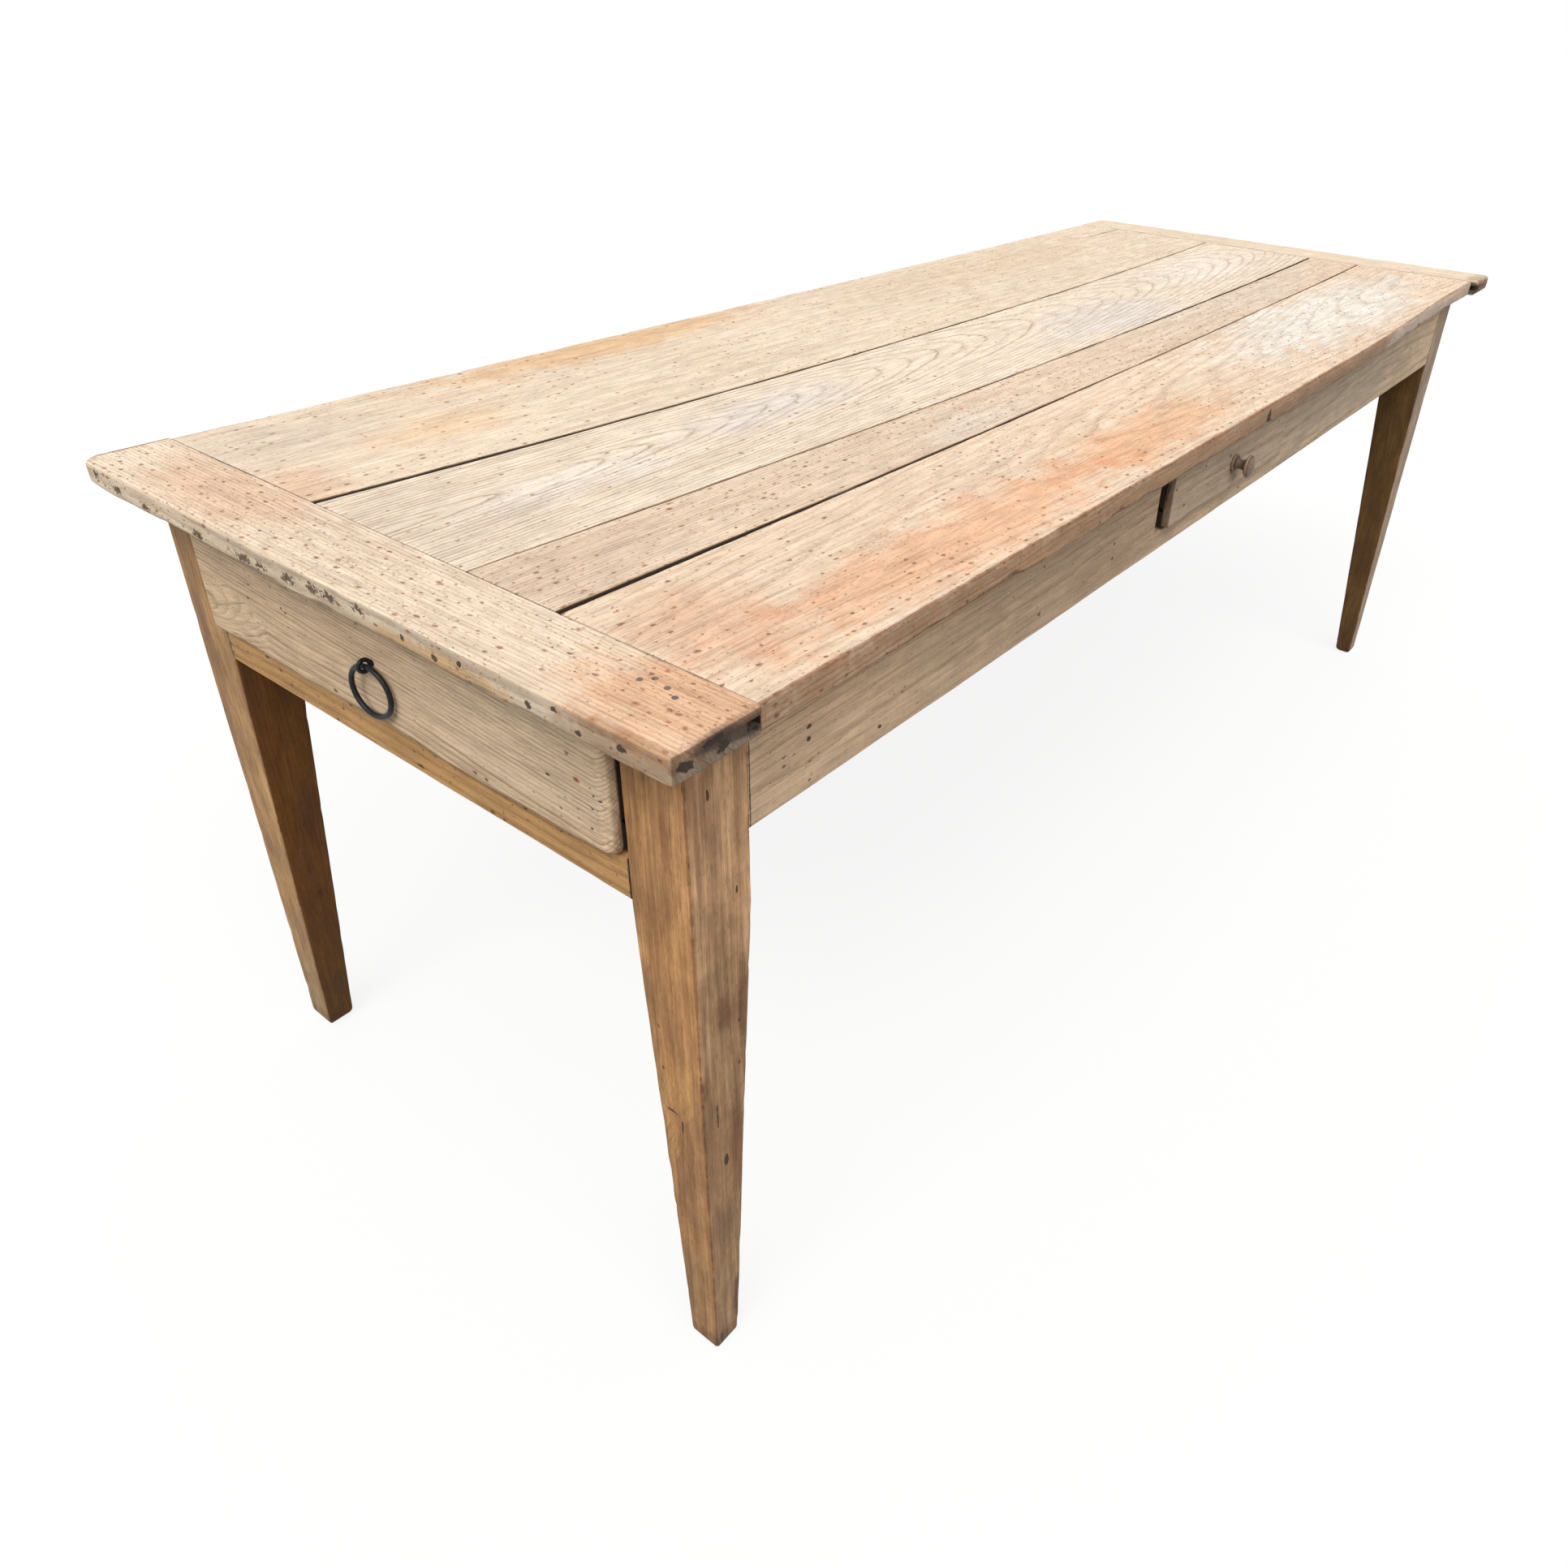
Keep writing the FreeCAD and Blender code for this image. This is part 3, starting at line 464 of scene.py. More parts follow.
def make_oak_figure():
    """Growth rings round a tilted pith, with furrows and pores along them; x runs along the grain."""
    group, given, give = new_group(
        "oak_figure", ["Vector"],
        {"Pith across": 0.0, "Pith depth": 0.1, "Tilt": 0.0, "Ring width": 0.004, "Bend": 0.0,
         "Furrow width": 0.0008, "Furrow length": 0.018},
        ["Rings", "Lines", "Streak", "Furrows", "Pores", "Mottle"])
    place = given["Vector"]
    slow = add("ShaderNodeTexNoise", {"Vector": scaled(place, 2.3, 8.0), "Scale": 1.0, "Detail": 2.0})
    warp = add("ShaderNodeSeparateColor", {0: slow["Color"]})
    run = parts(place)
    over = run[1] + warp[0] * 0.016
    under = run[2] + warp[1] * 0.016
    across = over - given["Pith across"]
    depth = under - (given["Pith depth"] + run[0] * given["Tilt"])
    radius = calc("SQRT", across * across + depth * depth) + given["Bend"]

    phase = radius / given["Ring width"] + streaky(place, 22, 260, 2.0) * 0.30
    part = calc("FRACT", phase)
    early = calc("MAXIMUM", between(part, 0.0, 0.42, 1.0, 0.0), between(part, 0.86, 1.0))
    own = add("ShaderNodeTexWhiteNoise", {"W": calc("FLOOR", phase)}, noise_dimensions="1D")["Value"]
    strength = own * 0.7 + 0.3
    give("Rings", early * strength)

    broken = between(streaky(place, 24, 200, 2.0), 0.32, 0.54)
    slope = calc("ABSOLUTE", across / radius) + 0.22
    share = calc("DIVIDE", slope * 0.0021, given["Ring width"], clamp=True)
    thin = calc("SUBTRACT", 1.0, part / share, clamp=True)
    give("Lines", thin * strength * broken)
    give("Streak", streaky(place, 6.0, 170, 4.0))
    give("Mottle", streaky(place, 26, 95, 3.0, 0.6))

    side = over + under + given["Bend"]
    strand = add("ShaderNodeCombineXYZ", {0: run[0] * 9.0, 1: side * 600.0})[0]
    fibre = add("ShaderNodeTexNoise", {"Vector": strand, "Scale": 1.0, "Detail": 2.0, "Roughness": 0.6},
                noise_dimensions="2D")["Fac"]
    give("Furrows", between(fibre, 0.52, 0.68))
    pore, number = dashes(run[0], side + 0.013, given["Furrow length"] * 0.36,
                          given["Furrow width"] * 0.8, 2.6)
    give("Pores", pore * calc("LESS_THAN", number, early * 0.65 + 0.22))
    return group


def make_pits():
    """Small ragged pits and worm holes, each of its own size, thicker in some places."""
    group, given, give = new_group(
        "pits", ["Vector"], {"Spacing": 0.020, "Size": 0.0012, "Share": 0.3}, ["Mask", "Own"])
    place = given["Vector"]
    rag = add("ShaderNodeTexNoise", {"Vector": place, "Scale": 520.0, "Detail": 2.0})["Color"]
    centred = vector_calc("SUBTRACT", rag, (0.5, 0.5, 0.5))
    run = parts(vector_calc("ADD", place, scaled(centred, 0.0044, 0.0026)))
    _, points, own = scattered(run[0] / (given["Spacing"] * 1.7), (run[1] + run[2]) / given["Spacing"])
    crowd = between(streaky(place, 5, 14, 2.0), 0.35, 0.65, 0.35, 1.4)
    shown = calc("LESS_THAN", own[0], given["Share"] * crowd)
    size = given["Size"] * (calc("POWER", own[1], 3.0) * 1.5 + 0.55)
    away = points["Distance"] * given["Spacing"]
    give("Mask", calc("DIVIDE", size - away, size * 0.6, clamp=True) * shown)
    give("Own", own[2])
    return group


def make_blotch():
    """A stain or hole by its centre and reach, with a torn edge; Cone rises evenly to the centre."""
    group, given, give = new_group(
        "blotch", ["Vector", "Centre", "Reach"], {"Torn": 0.0}, ["Mask", "Crisp", "Cone"])
    off = vector_calc("SUBTRACT", given["Vector"], given["Centre"])
    ratio = vector_calc("DIVIDE", off, given["Reach"])
    length = add("ShaderNodeVectorMath", {0: ratio}, operation="LENGTH")["Value"]
    edge = length + given["Torn"]
    give("Mask", between(edge, 0.35, 1.1, 1.0, 0.0))
    give("Crisp", between(edge, 0.72, 0.98, 1.0, 0.0))
    give("Cone", calc("SUBTRACT", 1.0, length, clamp=True))
    return group


def make_edge_wear():
    """Rubbed arrises: follows the arris mark, broken up by noise."""
    group, given, give = new_group("edge_wear", ["Vector"], {"Arris": 0.0, "Amount": 0.5}, ["Mask"])
    level = given["Arris"] + (grainy(given["Vector"], 70.0, 4.0, 0.65) - 0.5)
    edge = between(level + (given["Amount"] - 1.0), 0.0, 0.35)
    give("Mask", edge * between(given["Arris"], 0.02, 0.3))
    return group


oak_figure = make_oak_figure()
pits = make_pits()
blotch = make_blotch()
edge_wear = make_edge_wear()


# Materials

def empty_tree(owner):
    """The node tree of a new material or world, emptied."""
    owner.use_nodes = True
    owner.node_tree.nodes.clear()
    return owner.node_tree


def start_material(name):
    """An empty material, its tree, and the place on the object."""
    material = bpy.data.materials.new(name)
    tree = empty_tree(material)
    return material, tree, add("ShaderNodeTexCoord", {}, tree)["Object"]


def set_surface(colour, rough, gloss, relief, metallic=0.0):
    """The shader of a material; relief is (height, strength, distance)."""
    bump = add("ShaderNodeBump", dict(zip(("Height", "Strength", "Distance"), relief)))[0]
    shader = add("ShaderNodeBsdfPrincipled", {
        "Base Color": colour, "Roughness": rough, "Metallic": metallic, "Specular IOR Level": gloss,
        "Normal": bump})
    add("ShaderNodeOutputMaterial", {"Surface": shader[0]})


def torn(place, scale, strength, detail=3.0, rough=0.55):
    """Noise about zero that tears the edge of a stain or hole."""
    return (grainy(place, scale, detail, rough) - 0.5) * strength


def spot(place, centre, reach, edge=0.0):
    """The masks of one stain, hole or swirl; edge is the noise that tears it."""
    return place_group(blotch, {"Vector": place, "Centre": centre, "Reach": reach, "Torn": edge})


# How the edges of stains, holes and worm holes are torn, and the painted shade inside holes and worm holes
# and in the gap round a closed drawer.
stain_torn = (26.0, 1.7, 6.0, 0.65)
hole_torn = (170.0, 2.2)
worm_torn = (330.0, 4.6)
hole_shade = (0.030, 0.020, 0.014)
worm_hole_shade = (0.080, 0.046, 0.024)
gap_shade_colour = (0.036, 0.024, 0.016)

# What oak() takes where a board names nothing else. Sizes are in metres, shares run from 0 to 1.
plain_oak = {
    "pith": (0.3, 0.6), "tilt": 0.0, "ring": 0.005, "seed": 0.0,
    "rings": 0.30, "lines": 0.55, "streaks": 0.38, "fibres": 0.46, "mottle": 0.09,
    "furrows": 0.8, "furrow_size": (0.0008, 0.020),
    "pit": (0.46, 0.20, 0.09), "pit_share": 0.15, "pit_size": (0.0092, 0.0013),
    "patches": (3.0, 9.0), "patch_shade": (0.93, 0.92, 0.91),
    "stains": (), "holes": (), "worms": (), "knots": (), "swirls": (), "faces": (), "grime": None,
    "edge": None, "edge_amount": 0.5, "end_shade": (0.62, 0.58, 0.55),
    "dirt": (0.035, 0.025, 0.018), "rough": 0.68}


def grain_bend(look, place):
    """How far swirls and knots push the growth rings aside, and the dark cores of the knots."""
    bend, cores = 0.0, []
    for centre, reach, height in look.swirls:
        bend = spot(place, centre, reach)["Cone"] * height + bend
    for centre, size in look.knots:
        near = spot(place, centre, (size * 2.4, size * 2.4, size * 3.2))
        bend = near["Cone"] * (size * 1.4) + bend
        edge = torn(place, *hole_torn) * 0.4
        cores.append(spot(place, centre, (size * 0.6, size * 0.6, size * 0.9), edge)["Mask"])
    return bend, cores


def figured(look, run, bend):
    """The bare wood: its colour, the mask of its furrows, and the slow patches of its tone."""
    figure = place_group(oak_figure, {
        "Vector": run, "Pith across": look.pith[0], "Pith depth": look.pith[1] - look.tilt * look.seed,
        "Tilt": look.tilt, "Ring width": look.ring, "Bend": bend,
        "Furrow width": look.furrow_size[0], "Furrow length": look.furrow_size[1]})
    streak = between(figure["Streak"], 0.37, 0.63)
    body = calc("ADD", figure["Rings"] * look.rings, streak * look.streaks, clamp=True)
    colour = blend(body, tint(look.light), tint(look.deep))
    patch = streaky(run, *look.patches, 4.0, 0.6)
    darker = blend(1.0, colour, tint(look.patch_shade), "MULTIPLY")
    colour = blend(between(patch, 0.3, 0.7), darker, colour)
    furrows = calc("MAXIMUM", figure["Furrows"] * look.fibres, figure["Pores"] * look.furrows)
    furrows = furrows * between(patch, 0.25, 0.75, 1.0, 0.6)
    furrows = calc("MAXIMUM", furrows, figure["Lines"] * look.lines)
    colour = blend(furrows, colour, tint(look.furrow))
    shade = between(figure["Mottle"], 0.32, 0.68, 1.0 - look.mottle, 1.0 + look.mottle)
    colour = add("ShaderNodeVectorMath", {0: colour, "Scale": shade}, operation="SCALE")[0]
    return colour, furrows, patch


def stained(look, place, colour):
    """Dark and bleached places where the photo shows them; a few of them are painted light and shade."""
    edge = torn(place, *stain_torn)
    for centre, reach, shade, strength in look.stains:
        colour = shaded(spot(place, centre, reach, edge)["Mask"] * strength, colour, shade)
    return colour


def opened(look, run, place, colour, furrows):
    """Pits all over and holes where the photo shows them, and how far all of these sink; the holes are filled
    with painted shade, and some of them are painted shade lines at joints.
    """
    spacing, size = look.pit_size
    share = look.pit_share
    specks = place_group(pits, {"Vector": run, "Spacing": spacing, "Size": size, "Share": share})
    flecks = place_group(pits, {
        "Vector": run, "Spacing": spacing * 0.47, "Size": size * 0.52, "Share": share * 0.8})
    speck_colour = blend(specks["Own"], tint(look.pit), tint(look.pit, 0.40))
    colour = blend(flecks["Mask"] * 0.60, colour, tint(look.pit, 0.75))
    colour = blend(specks["Mask"] * 0.88, colour, speck_colour)
    sunk = furrows * 0.5 + specks["Mask"] * 0.9
    for holes, tearing, dark in ((look.holes, hole_torn, hole_shade), (look.worms, worm_torn, worm_hole_shade)):
        edge = torn(place, *tearing)
        for centre, reach in holes:
            hole = spot(place, centre, reach, edge)["Crisp"]
            colour = blend(hole * 0.9, colour, tint(dark))
            sunk = sunk + hole
    return colour, sunk


def aged(look, tree, place, colour):
    """End grain, whole faces tinted by the way they face as painted light and shade, rubbed arrises (on the
    knob also a painted highlight), the painted shade of the gap round a closed drawer, and painted shade with
    some soiling in gaps and joints.
    """
    facing = parts(add("ShaderNodeNewGeometry", {}, tree)["Normal"])
    on_end = between(calc("ABSOLUTE", facing[look.grain.upper()]), 0.75, 0.92)
    colour = shaded(on_end, colour, look.end_shade)
    # Whole faces are tinted by the way they face: painted light and shade.
    for axis, way, shade in look.faces:
        colour = shaded(between(facing[axis.upper()] * way, 0.6, 0.85), colour, shade)
    if look.edge:
        rubbed = place_group(edge_wear, {
            "Vector": place, "Arris": mark(tree, "arris"), "Amount": look.edge_amount})
        colour = shaded(rubbed["Mask"], colour, look.edge)
    # Painted shade: the gap round a closed drawer is blackened, and the drawer keeps it when it is out.
    if look.grime:
        axis, clean, black, inside, top = look.grime
        split = parts(place)
        depth = split[axis.upper()]
        behind = between(depth, clean, black) * between(depth, inside - 0.002, inside - 0.0008, 1.0, 0.0)
        behind = behind * between(split["Z"], top - 0.005, top - 0.003, 1.0, 0.0)
        colour = blend(behind, colour, tint(gap_shade_colour))
    # Joints, grooves and creases are darkened by a mesh mark: painted shade, with some soiling.
    return blend(mark(tree, "dirt"), colour, tint(look.dirt))


def oak(name, grain, light, deep, furrow, **given):
    """Old bare oak for one board: grain runs along the named axis, and marks lie where the photo shows them.

    stains are (centre, reach, shade, strength), some of them painted light and shade, holes and worms
    (centre, reach), filled with painted shade, knots (centre, size), swirls (centre, reach, height), faces
    (axis, way, shade), which tint whole faces as painted light and shade, and the painted shade of the gap
    round a closed drawer is (axis, clean, black, inside, top).
    """
    look = SimpleNamespace(grain=grain, light=light, deep=deep, furrow=furrow, **{**plain_oak, **given})
    material, tree, place = start_material(name)
    split = parts(place)
    order = {"x": "XYZ", "y": "YXZ", "z": "ZXY"}[grain]
    along = add("ShaderNodeCombineXYZ", {i: split[axis] for i, axis in enumerate(order)})[0]
    run = vector_calc("ADD", along, (look.seed, 0, 0))
    bend, cores = grain_bend(look, place)
    colour, furrows, patch = figured(look, run, bend)
    colour = stained(look, place, colour)
    colour, sunk = opened(look, run, place, colour, furrows)
    for core in cores:
        colour = blend(core * 0.8, colour, tint(deep, 0.35))
    colour = aged(look, tree, place, colour)
    rough = between(patch, 0.25, 0.75, look.rough - 0.08, look.rough + 0.1)
    set_surface(colour, rough, 0.28, (patch * 0.5 - sunk, 0.6, 0.0008))
    return material


def iron(name, dark, pale, rust, rust_share, rough, metallic):
    """Forged iron: uneven tone, rubbed places and rust in patches."""
    material, tree, place = start_material(name)
    tone = grainy(place, 240.0, 4.0, 0.6)
    colour = blend(between(tone, 0.35, 0.7), tint(dark), tint(pale))
    rusty = between(grainy(place, 90.0, 5.0, 0.65), 0.72 - rust_share * 0.5, 0.80 - rust_share * 0.45)
    colour = blend(rusty, colour, tint(rust))
    dull = between(tone + rusty * 0.5, 0.2, 1.1, rough, rough + 0.4)
    relief = (grainy(place, 420.0, 4.0), 0.35, 0.0006)
    set_surface(colour, dull, 0.25, relief, (1.0 - rusty) * metallic)
    return material


# Finishes of the top: one for each board, with the stains that it shows.
top_light = (0.915, 0.785, 0.625)
top_deep = (0.74, 0.565, 0.400)
top_pore = (0.36, 0.235, 0.145)
top_pit = (0.47, 0.205, 0.095)
top_edge = (0.62, 0.52, 0.45)
reddish = (0.93, 0.79, 0.73)
orange = (1.0, 0.87, 0.74)
bleached = (1.0, 1.06, 1.16)
greyed = (0.90, 0.95, 1.06)
dusky = (0.62, 0.55, 0.50)
dark_corner = (0.66, 0.55, 0.47)
near_face = -1.05
near_board_front = -0.404


def on_top(x, y, reach_x, reach_y, shade, strength):
    """A stain on the face of the top."""
    return (x, y, top_height), (reach_x, reach_y, 0.1), shade, strength


plank_1_oak = oak(
    "plank_1_oak", "x", top_light, top_deep, top_pore, pith=(0.85, 0.70), ring=0.0050, seed=1.3,
    pit=top_pit, pit_share=0.40, edge=top_edge,
    stains=[
        on_top(-0.95, 0.19, 0.05, 0.07, reddish, 0.9),
        on_top(-0.90, 0.31, 0.14, 0.08, (0.92, 0.92, 0.95), 1.0),
        on_top(-0.76, 0.24, 0.11, 0.05, orange, 0.8),
        on_top(-0.40, 0.37, 0.36, 0.06, (0.92, 0.74, 0.56), 0.9),
        on_top(0.45, 0.30, 0.5, 0.10, (0.92, 0.88, 0.84), 0.8)],
    holes=[((0.90, 0.320, 0.76), (0.09, 0.0016, 0.01))])
plank_2_oak = oak(
    "plank_2_oak", "x", (0.93, 0.815, 0.675), (0.72, 0.55, 0.400), top_pore, pith=(0.046, 0.6763),
    tilt=-0.09, ring=0.0055, seed=0.9, lines=1.0, fibres=0.34, pit=top_pit, pit_share=0.18, edge=top_edge,
    stains=[
        on_top(-0.92, 0.03, 0.12, 0.14, (0.91, 0.90, 0.90), 1.0),
        on_top(-0.47, 0.03, 0.16, 0.06, greyed, 0.9),
        on_top(0.24, -0.04, 0.22, 0.09, greyed, 1.0),
        on_top(-0.75, 0.01, 0.16, 0.04, bleached, 0.8),
        on_top(0.70, 0.02, 0.25, 0.09, bleached, 0.7)])
plank_3_oak = oak(
    "plank_3_oak", "x", (0.87, 0.715, 0.56), (0.68, 0.48, 0.325), top_pore, pith=(-0.75, 0.66),
    ring=0.0042, seed=4.1, pit=top_pit, pit_share=0.95, edge=top_edge,
    stains=[
        on_top(-0.90, -0.14, 0.14, 0.06, (0.91, 0.89, 0.90), 1.0),
        on_top(-0.35, -0.17, 0.14, 0.04, bleached, 0.9),
        on_top(0.5, -0.13, 0.4, 0.06, bleached, 0.7)])
plank_4_oak = oak(
    "plank_4_oak", "x", (0.90, 0.73, 0.565), (0.74, 0.51, 0.345), top_pore, pith=(-0.29, 0.60), tilt=0.035,
    ring=0.0048, seed=2.2, pit=top_pit, pit_share=0.55, edge=(0.60, 0.52, 0.49), edge_amount=0.55,
    stains=[
        on_top(-0.62, -0.345, 0.34, 0.060, (0.98, 0.77, 0.66), 1.0),
        on_top(-0.26, -0.34, 0.24, 0.055, (0.98, 0.78, 0.65), 1.0),
        on_top(-0.90, -0.30, 0.08, 0.10, reddish, 0.9),
        on_top(0.50, -0.28, 0.48, 0.11, (1.03, 1.22, 1.45), 1.0),
        ((0.0, -0.402, 0.746), (2.0, 0.005, 0.03), (0.60, 0.49, 0.40), 1.0),
        ((0.45, -0.392, 0.742), (0.80, 0.03, 0.013), (0.74, 0.78, 0.86), 1.0)],
    holes=[((-0.040, -0.402, 0.744), (0.006, 0.008, 0.010))])

# Holes in the near edge: y, z and reach. Those nearer the back are round worm holes, the others flat cracks.
near_edge_worms = [
    (0.374, 0.752, 0.008), (0.333, 0.746, 0.009), (0.279, 0.744, 0.010), (0.187, 0.743, 0.010),
    (0.110, 0.743, 0.016), (0.083, 0.744, 0.012), (0.038, 0.746, 0.013), (0.001, 0.748, 0.014),
    (-0.022, 0.749, 0.012), (-0.062, 0.751, 0.011)]
near_edge_cracks = [
    (-0.119, 0.746, 0.006), (-0.158, 0.743, 0.007), (-0.189, 0.749, 0.006), (-0.265, 0.745, 0.008),
    (-0.292, 0.752, 0.007), (-0.316, 0.742, 0.009), (-0.359, 0.748, 0.009)]
nail_holes = [
    ((-1.010, near_board_front, 0.754), (0.010, 0.004, 0.004)),
    ((-1.003, near_board_front, 0.746), (0.008, 0.004, 0.006)),
    ((-1.037, near_board_front, 0.747), (0.008, 0.004, 0.005)),
    ((-0.968, near_board_front, 0.746), (0.004, 0.004, 0.004))]
near_board_oak = oak(
    "near_board_oak", "y", (0.92, 0.785, 0.625), (0.75, 0.57, 0.405), top_pore, pith=(-1.9, 0.5),
    ring=0.0040, seed=3.4, pit=top_pit, pit_share=1.0, edge=(1.05, 1.05, 1.03), edge_amount=0.5,
    stains=[
        on_top(-1.0, 0.22, 0.06, 0.15, reddish, 0.9),
        ((-1.046, 0.400, 0.752), (0.014, 0.016, 0.012), dark_corner, 1.0),
        ((-1.0, 0.404, 0.756), (0.1, 0.005, 0.010), dark_corner, 1.0),
        ((-1.0, -0.36, 0.76), (0.09, 0.12, 0.02), (0.93, 0.71, 0.59), 1.0),
        ((near_face, -0.37, 0.745), (0.01, 0.11, 0.03), (0.66, 0.58, 0.51), 1.0),
        ((-1.0, near_board_front, 0.748), (0.07, 0.006, 0.03), (0.64, 0.63, 0.65), 1.0),
        ((-1.008, near_board_front, 0.753), (0.026, 0.008, 0.009), (0.34, 0.34, 0.38), 1.0),
        # Painted light: the whole near edge face is lightened a little.
        ((near_face, 0.1, 0.742), (0.006, 0.5, 0.012), (1.05, 1.06, 1.02), 1.0),
        ((near_face, -0.16, 0.742), (0.006, 0.10, 0.010), (0.90, 0.74, 0.54), 1.0)],
    worms=[((near_face, y, z), (0.005, reach * 0.75, 0.0040)) for y, z, reach in near_edge_worms],
    holes=[((near_face, y, z), (0.005, reach * 0.5, 0.0030)) for y, z, reach in near_edge_cracks]
    + nail_holes)
far_board_oak = oak(
    "far_board_oak", "y", top_light, top_deep, top_pore, pith=(1.9, 0.5), ring=0.006, seed=5.6,
    pit=top_pit, pit_share=0.25, edge=(0.55, 0.46, 0.40),
    stains=[((1.0, -0.39, 0.75), (0.06, 0.02, 0.05), dusky, 0.8)])

# Finishes of the legs
leg_light = (0.70, 0.43, 0.215)
leg_deep = (0.36, 0.180, 0.080)
leg_pore = (0.20, 0.095, 0.045)
leg_edge = (0.76, 0.72, 0.70)
leg_grain = {
    "rings": 0.18, "lines": 0.20, "streaks": 0.46, "fibres": 0.52, "mottle": 0.16,
    "furrows": 0.85, "furrow_size": (0.0009, 0.026), "pit": (0.10, 0.05, 0.025), "pit_size": (0.030, 0.0010),
    "patches": (8.0, 24.0), "patch_shade": (0.58, 0.54, 0.54)}
# The inner faces under the table: painted shade, and wood that the sun has not bleached.
unbleached_and_shaded = (0.32, 0.215, 0.092)
# Darker towards the bottom of each foot.
foot_darker = (0.66, 0.64, 0.62)
leg_front = -0.365
leg_end = -1.004


def on_leg_front(x, z, reach_x, reach_z, shade, strength):
    """A stain on the near leg's front face."""
    return (x, leg_front, z), (reach_x, 0.006, reach_z), shade, strength


def in_leg_front(x, z, reach_x, reach_z):
    """A hole or crack in the near leg's front face."""
    return (x, leg_front, z), (reach_x, 0.003, reach_z)


near_leg_oak = oak(
    "near_leg_oak", "z", leg_light, leg_deep, leg_pore, pith=(-0.90, -0.20), ring=0.0042, seed=1.1,
    pit_share=0.10, edge=(0.58, 0.52, 0.48), edge_amount=0.42,
    swirls=[((leg_end, -0.327, 0.318), (0.04, 0.030, 0.055), 0.020)],
    # The inner faces darkened as painted shade, also unbleached wood; the two outer faces tinted apart by the
    # way they face the light, as painted light.
    faces=[("x", 1, unbleached_and_shaded), ("y", 1, unbleached_and_shaded),
           ("y", -1, (0.98, 1.02, 1.12)), ("x", -1, (1.04, 0.97, 0.88))],
    stains=[
        # Painted light: the upper part of the front face is lightened where the top shades it.
        ((-0.985, leg_front, 0.66), (0.08, 0.02, 0.18), (1.36, 1.36, 1.40), 1.0),
        on_leg_front(-0.938, 0.62, 0.004, 0.14, (1.25, 1.20, 1.12), 1.0),
        ((leg_end, -0.327, 0.318), (0.006, 0.011, 0.015), (1.18, 1.15, 1.10), 0.9),
        on_leg_front(-1.001, 0.383, 0.006, 0.022, (0.55, 0.50, 0.50), 0.9),
        on_leg_front(-0.976, 0.455, 0.020, 0.030, (0.62, 0.55, 0.52), 0.9),
        on_leg_front(-0.950, 0.450, 0.010, 0.060, (0.58, 0.52, 0.50), 0.9),
        on_leg_front(-0.966, 0.270, 0.012, 0.070, (0.66, 0.58, 0.55), 0.9),
        on_leg_front(-0.994, 0.414, 0.010, 0.050, (1.10, 1.14, 1.22), 0.8),
        # Painted shade: the lower part of the leg is darkened against the light from the floor.
        ((-0.985, -0.35, 0.10), (0.1, 0.1, 0.28), (0.86, 0.85, 0.84), 1.0),
        ((leg_end, -0.345, 0.45), (0.006, 0.05, 0.16), (1.16, 1.14, 1.10), 1.0),
        ((-0.985, -0.35, 0.06), (0.05, 0.05, 0.12), (0.92, 0.98, 1.04), 0.9),
        ((-0.985, -0.35, 0.0), (0.1, 0.1, 0.030), foot_darker, 1.0),
        ((-0.972, leg_front, 0.06), (0.008, 0.02, 0.05), (0.40, 0.38, 0.36), 1.0)],
    holes=[
        in_leg_front(-0.981, 0.677, 0.0016, 0.0050),
        in_leg_front(-0.979, 0.273, 0.003, 0.009),
        in_leg_front(-0.987, 0.339, 0.0012, 0.016),
        in_leg_front(-0.997, 0.018, 0.0016, 0.012),
        in_leg_front(-0.954, 0.572, 0.0012, 0.0050),
        ((leg_end, -0.326, 0.333), (0.003, 0.008, 0.0014)),
        ((leg_end, -0.338, 0.319), (0.003, 0.0013, 0.012))],
    **leg_grain)
left_leg_oak = oak(
    "left_leg_oak", "z", (0.70, 0.44, 0.215), (0.42, 0.230, 0.105), leg_pore, pith=(-0.70, 0.10),
    ring=0.0046, seed=3.3, pit_share=0.12, edge=leg_edge, edge_amount=0.4,
    # The inner faces darkened as painted shade, also unbleached wood.
    knots=[((-0.977, 0.318, 0.215), 0.012)], faces=[("x", 1, unbleached_and_shaded), ("y", -1, unbleached_and_shaded)],
    stains=[
        ((-0.985, 0.345, 0.05), (0.05, 0.05, 0.14), (0.82, 0.92, 1.0), 0.9),
        ((-0.985, 0.345, 0.0), (0.1, 0.1, 0.030), foot_darker, 1.0)],
    holes=[((-0.996, 0.318, 0.211), (0.003, 0.004, 0.006))],
    **leg_grain)
far_leg_oak = oak(
    "far_leg_oak", "z", (0.58, 0.44, 0.32), (0.40, 0.28, 0.19), leg_pore, pith=(1.10, -0.70), ring=0.0048,
    # The inner face towards the middle is darkened as painted shade.
    seed=6.7, pit_share=0.10, edge=leg_edge, edge_amount=0.4, faces=[("x", -1, (0.38, 0.275, 0.125))],
    **leg_grain)

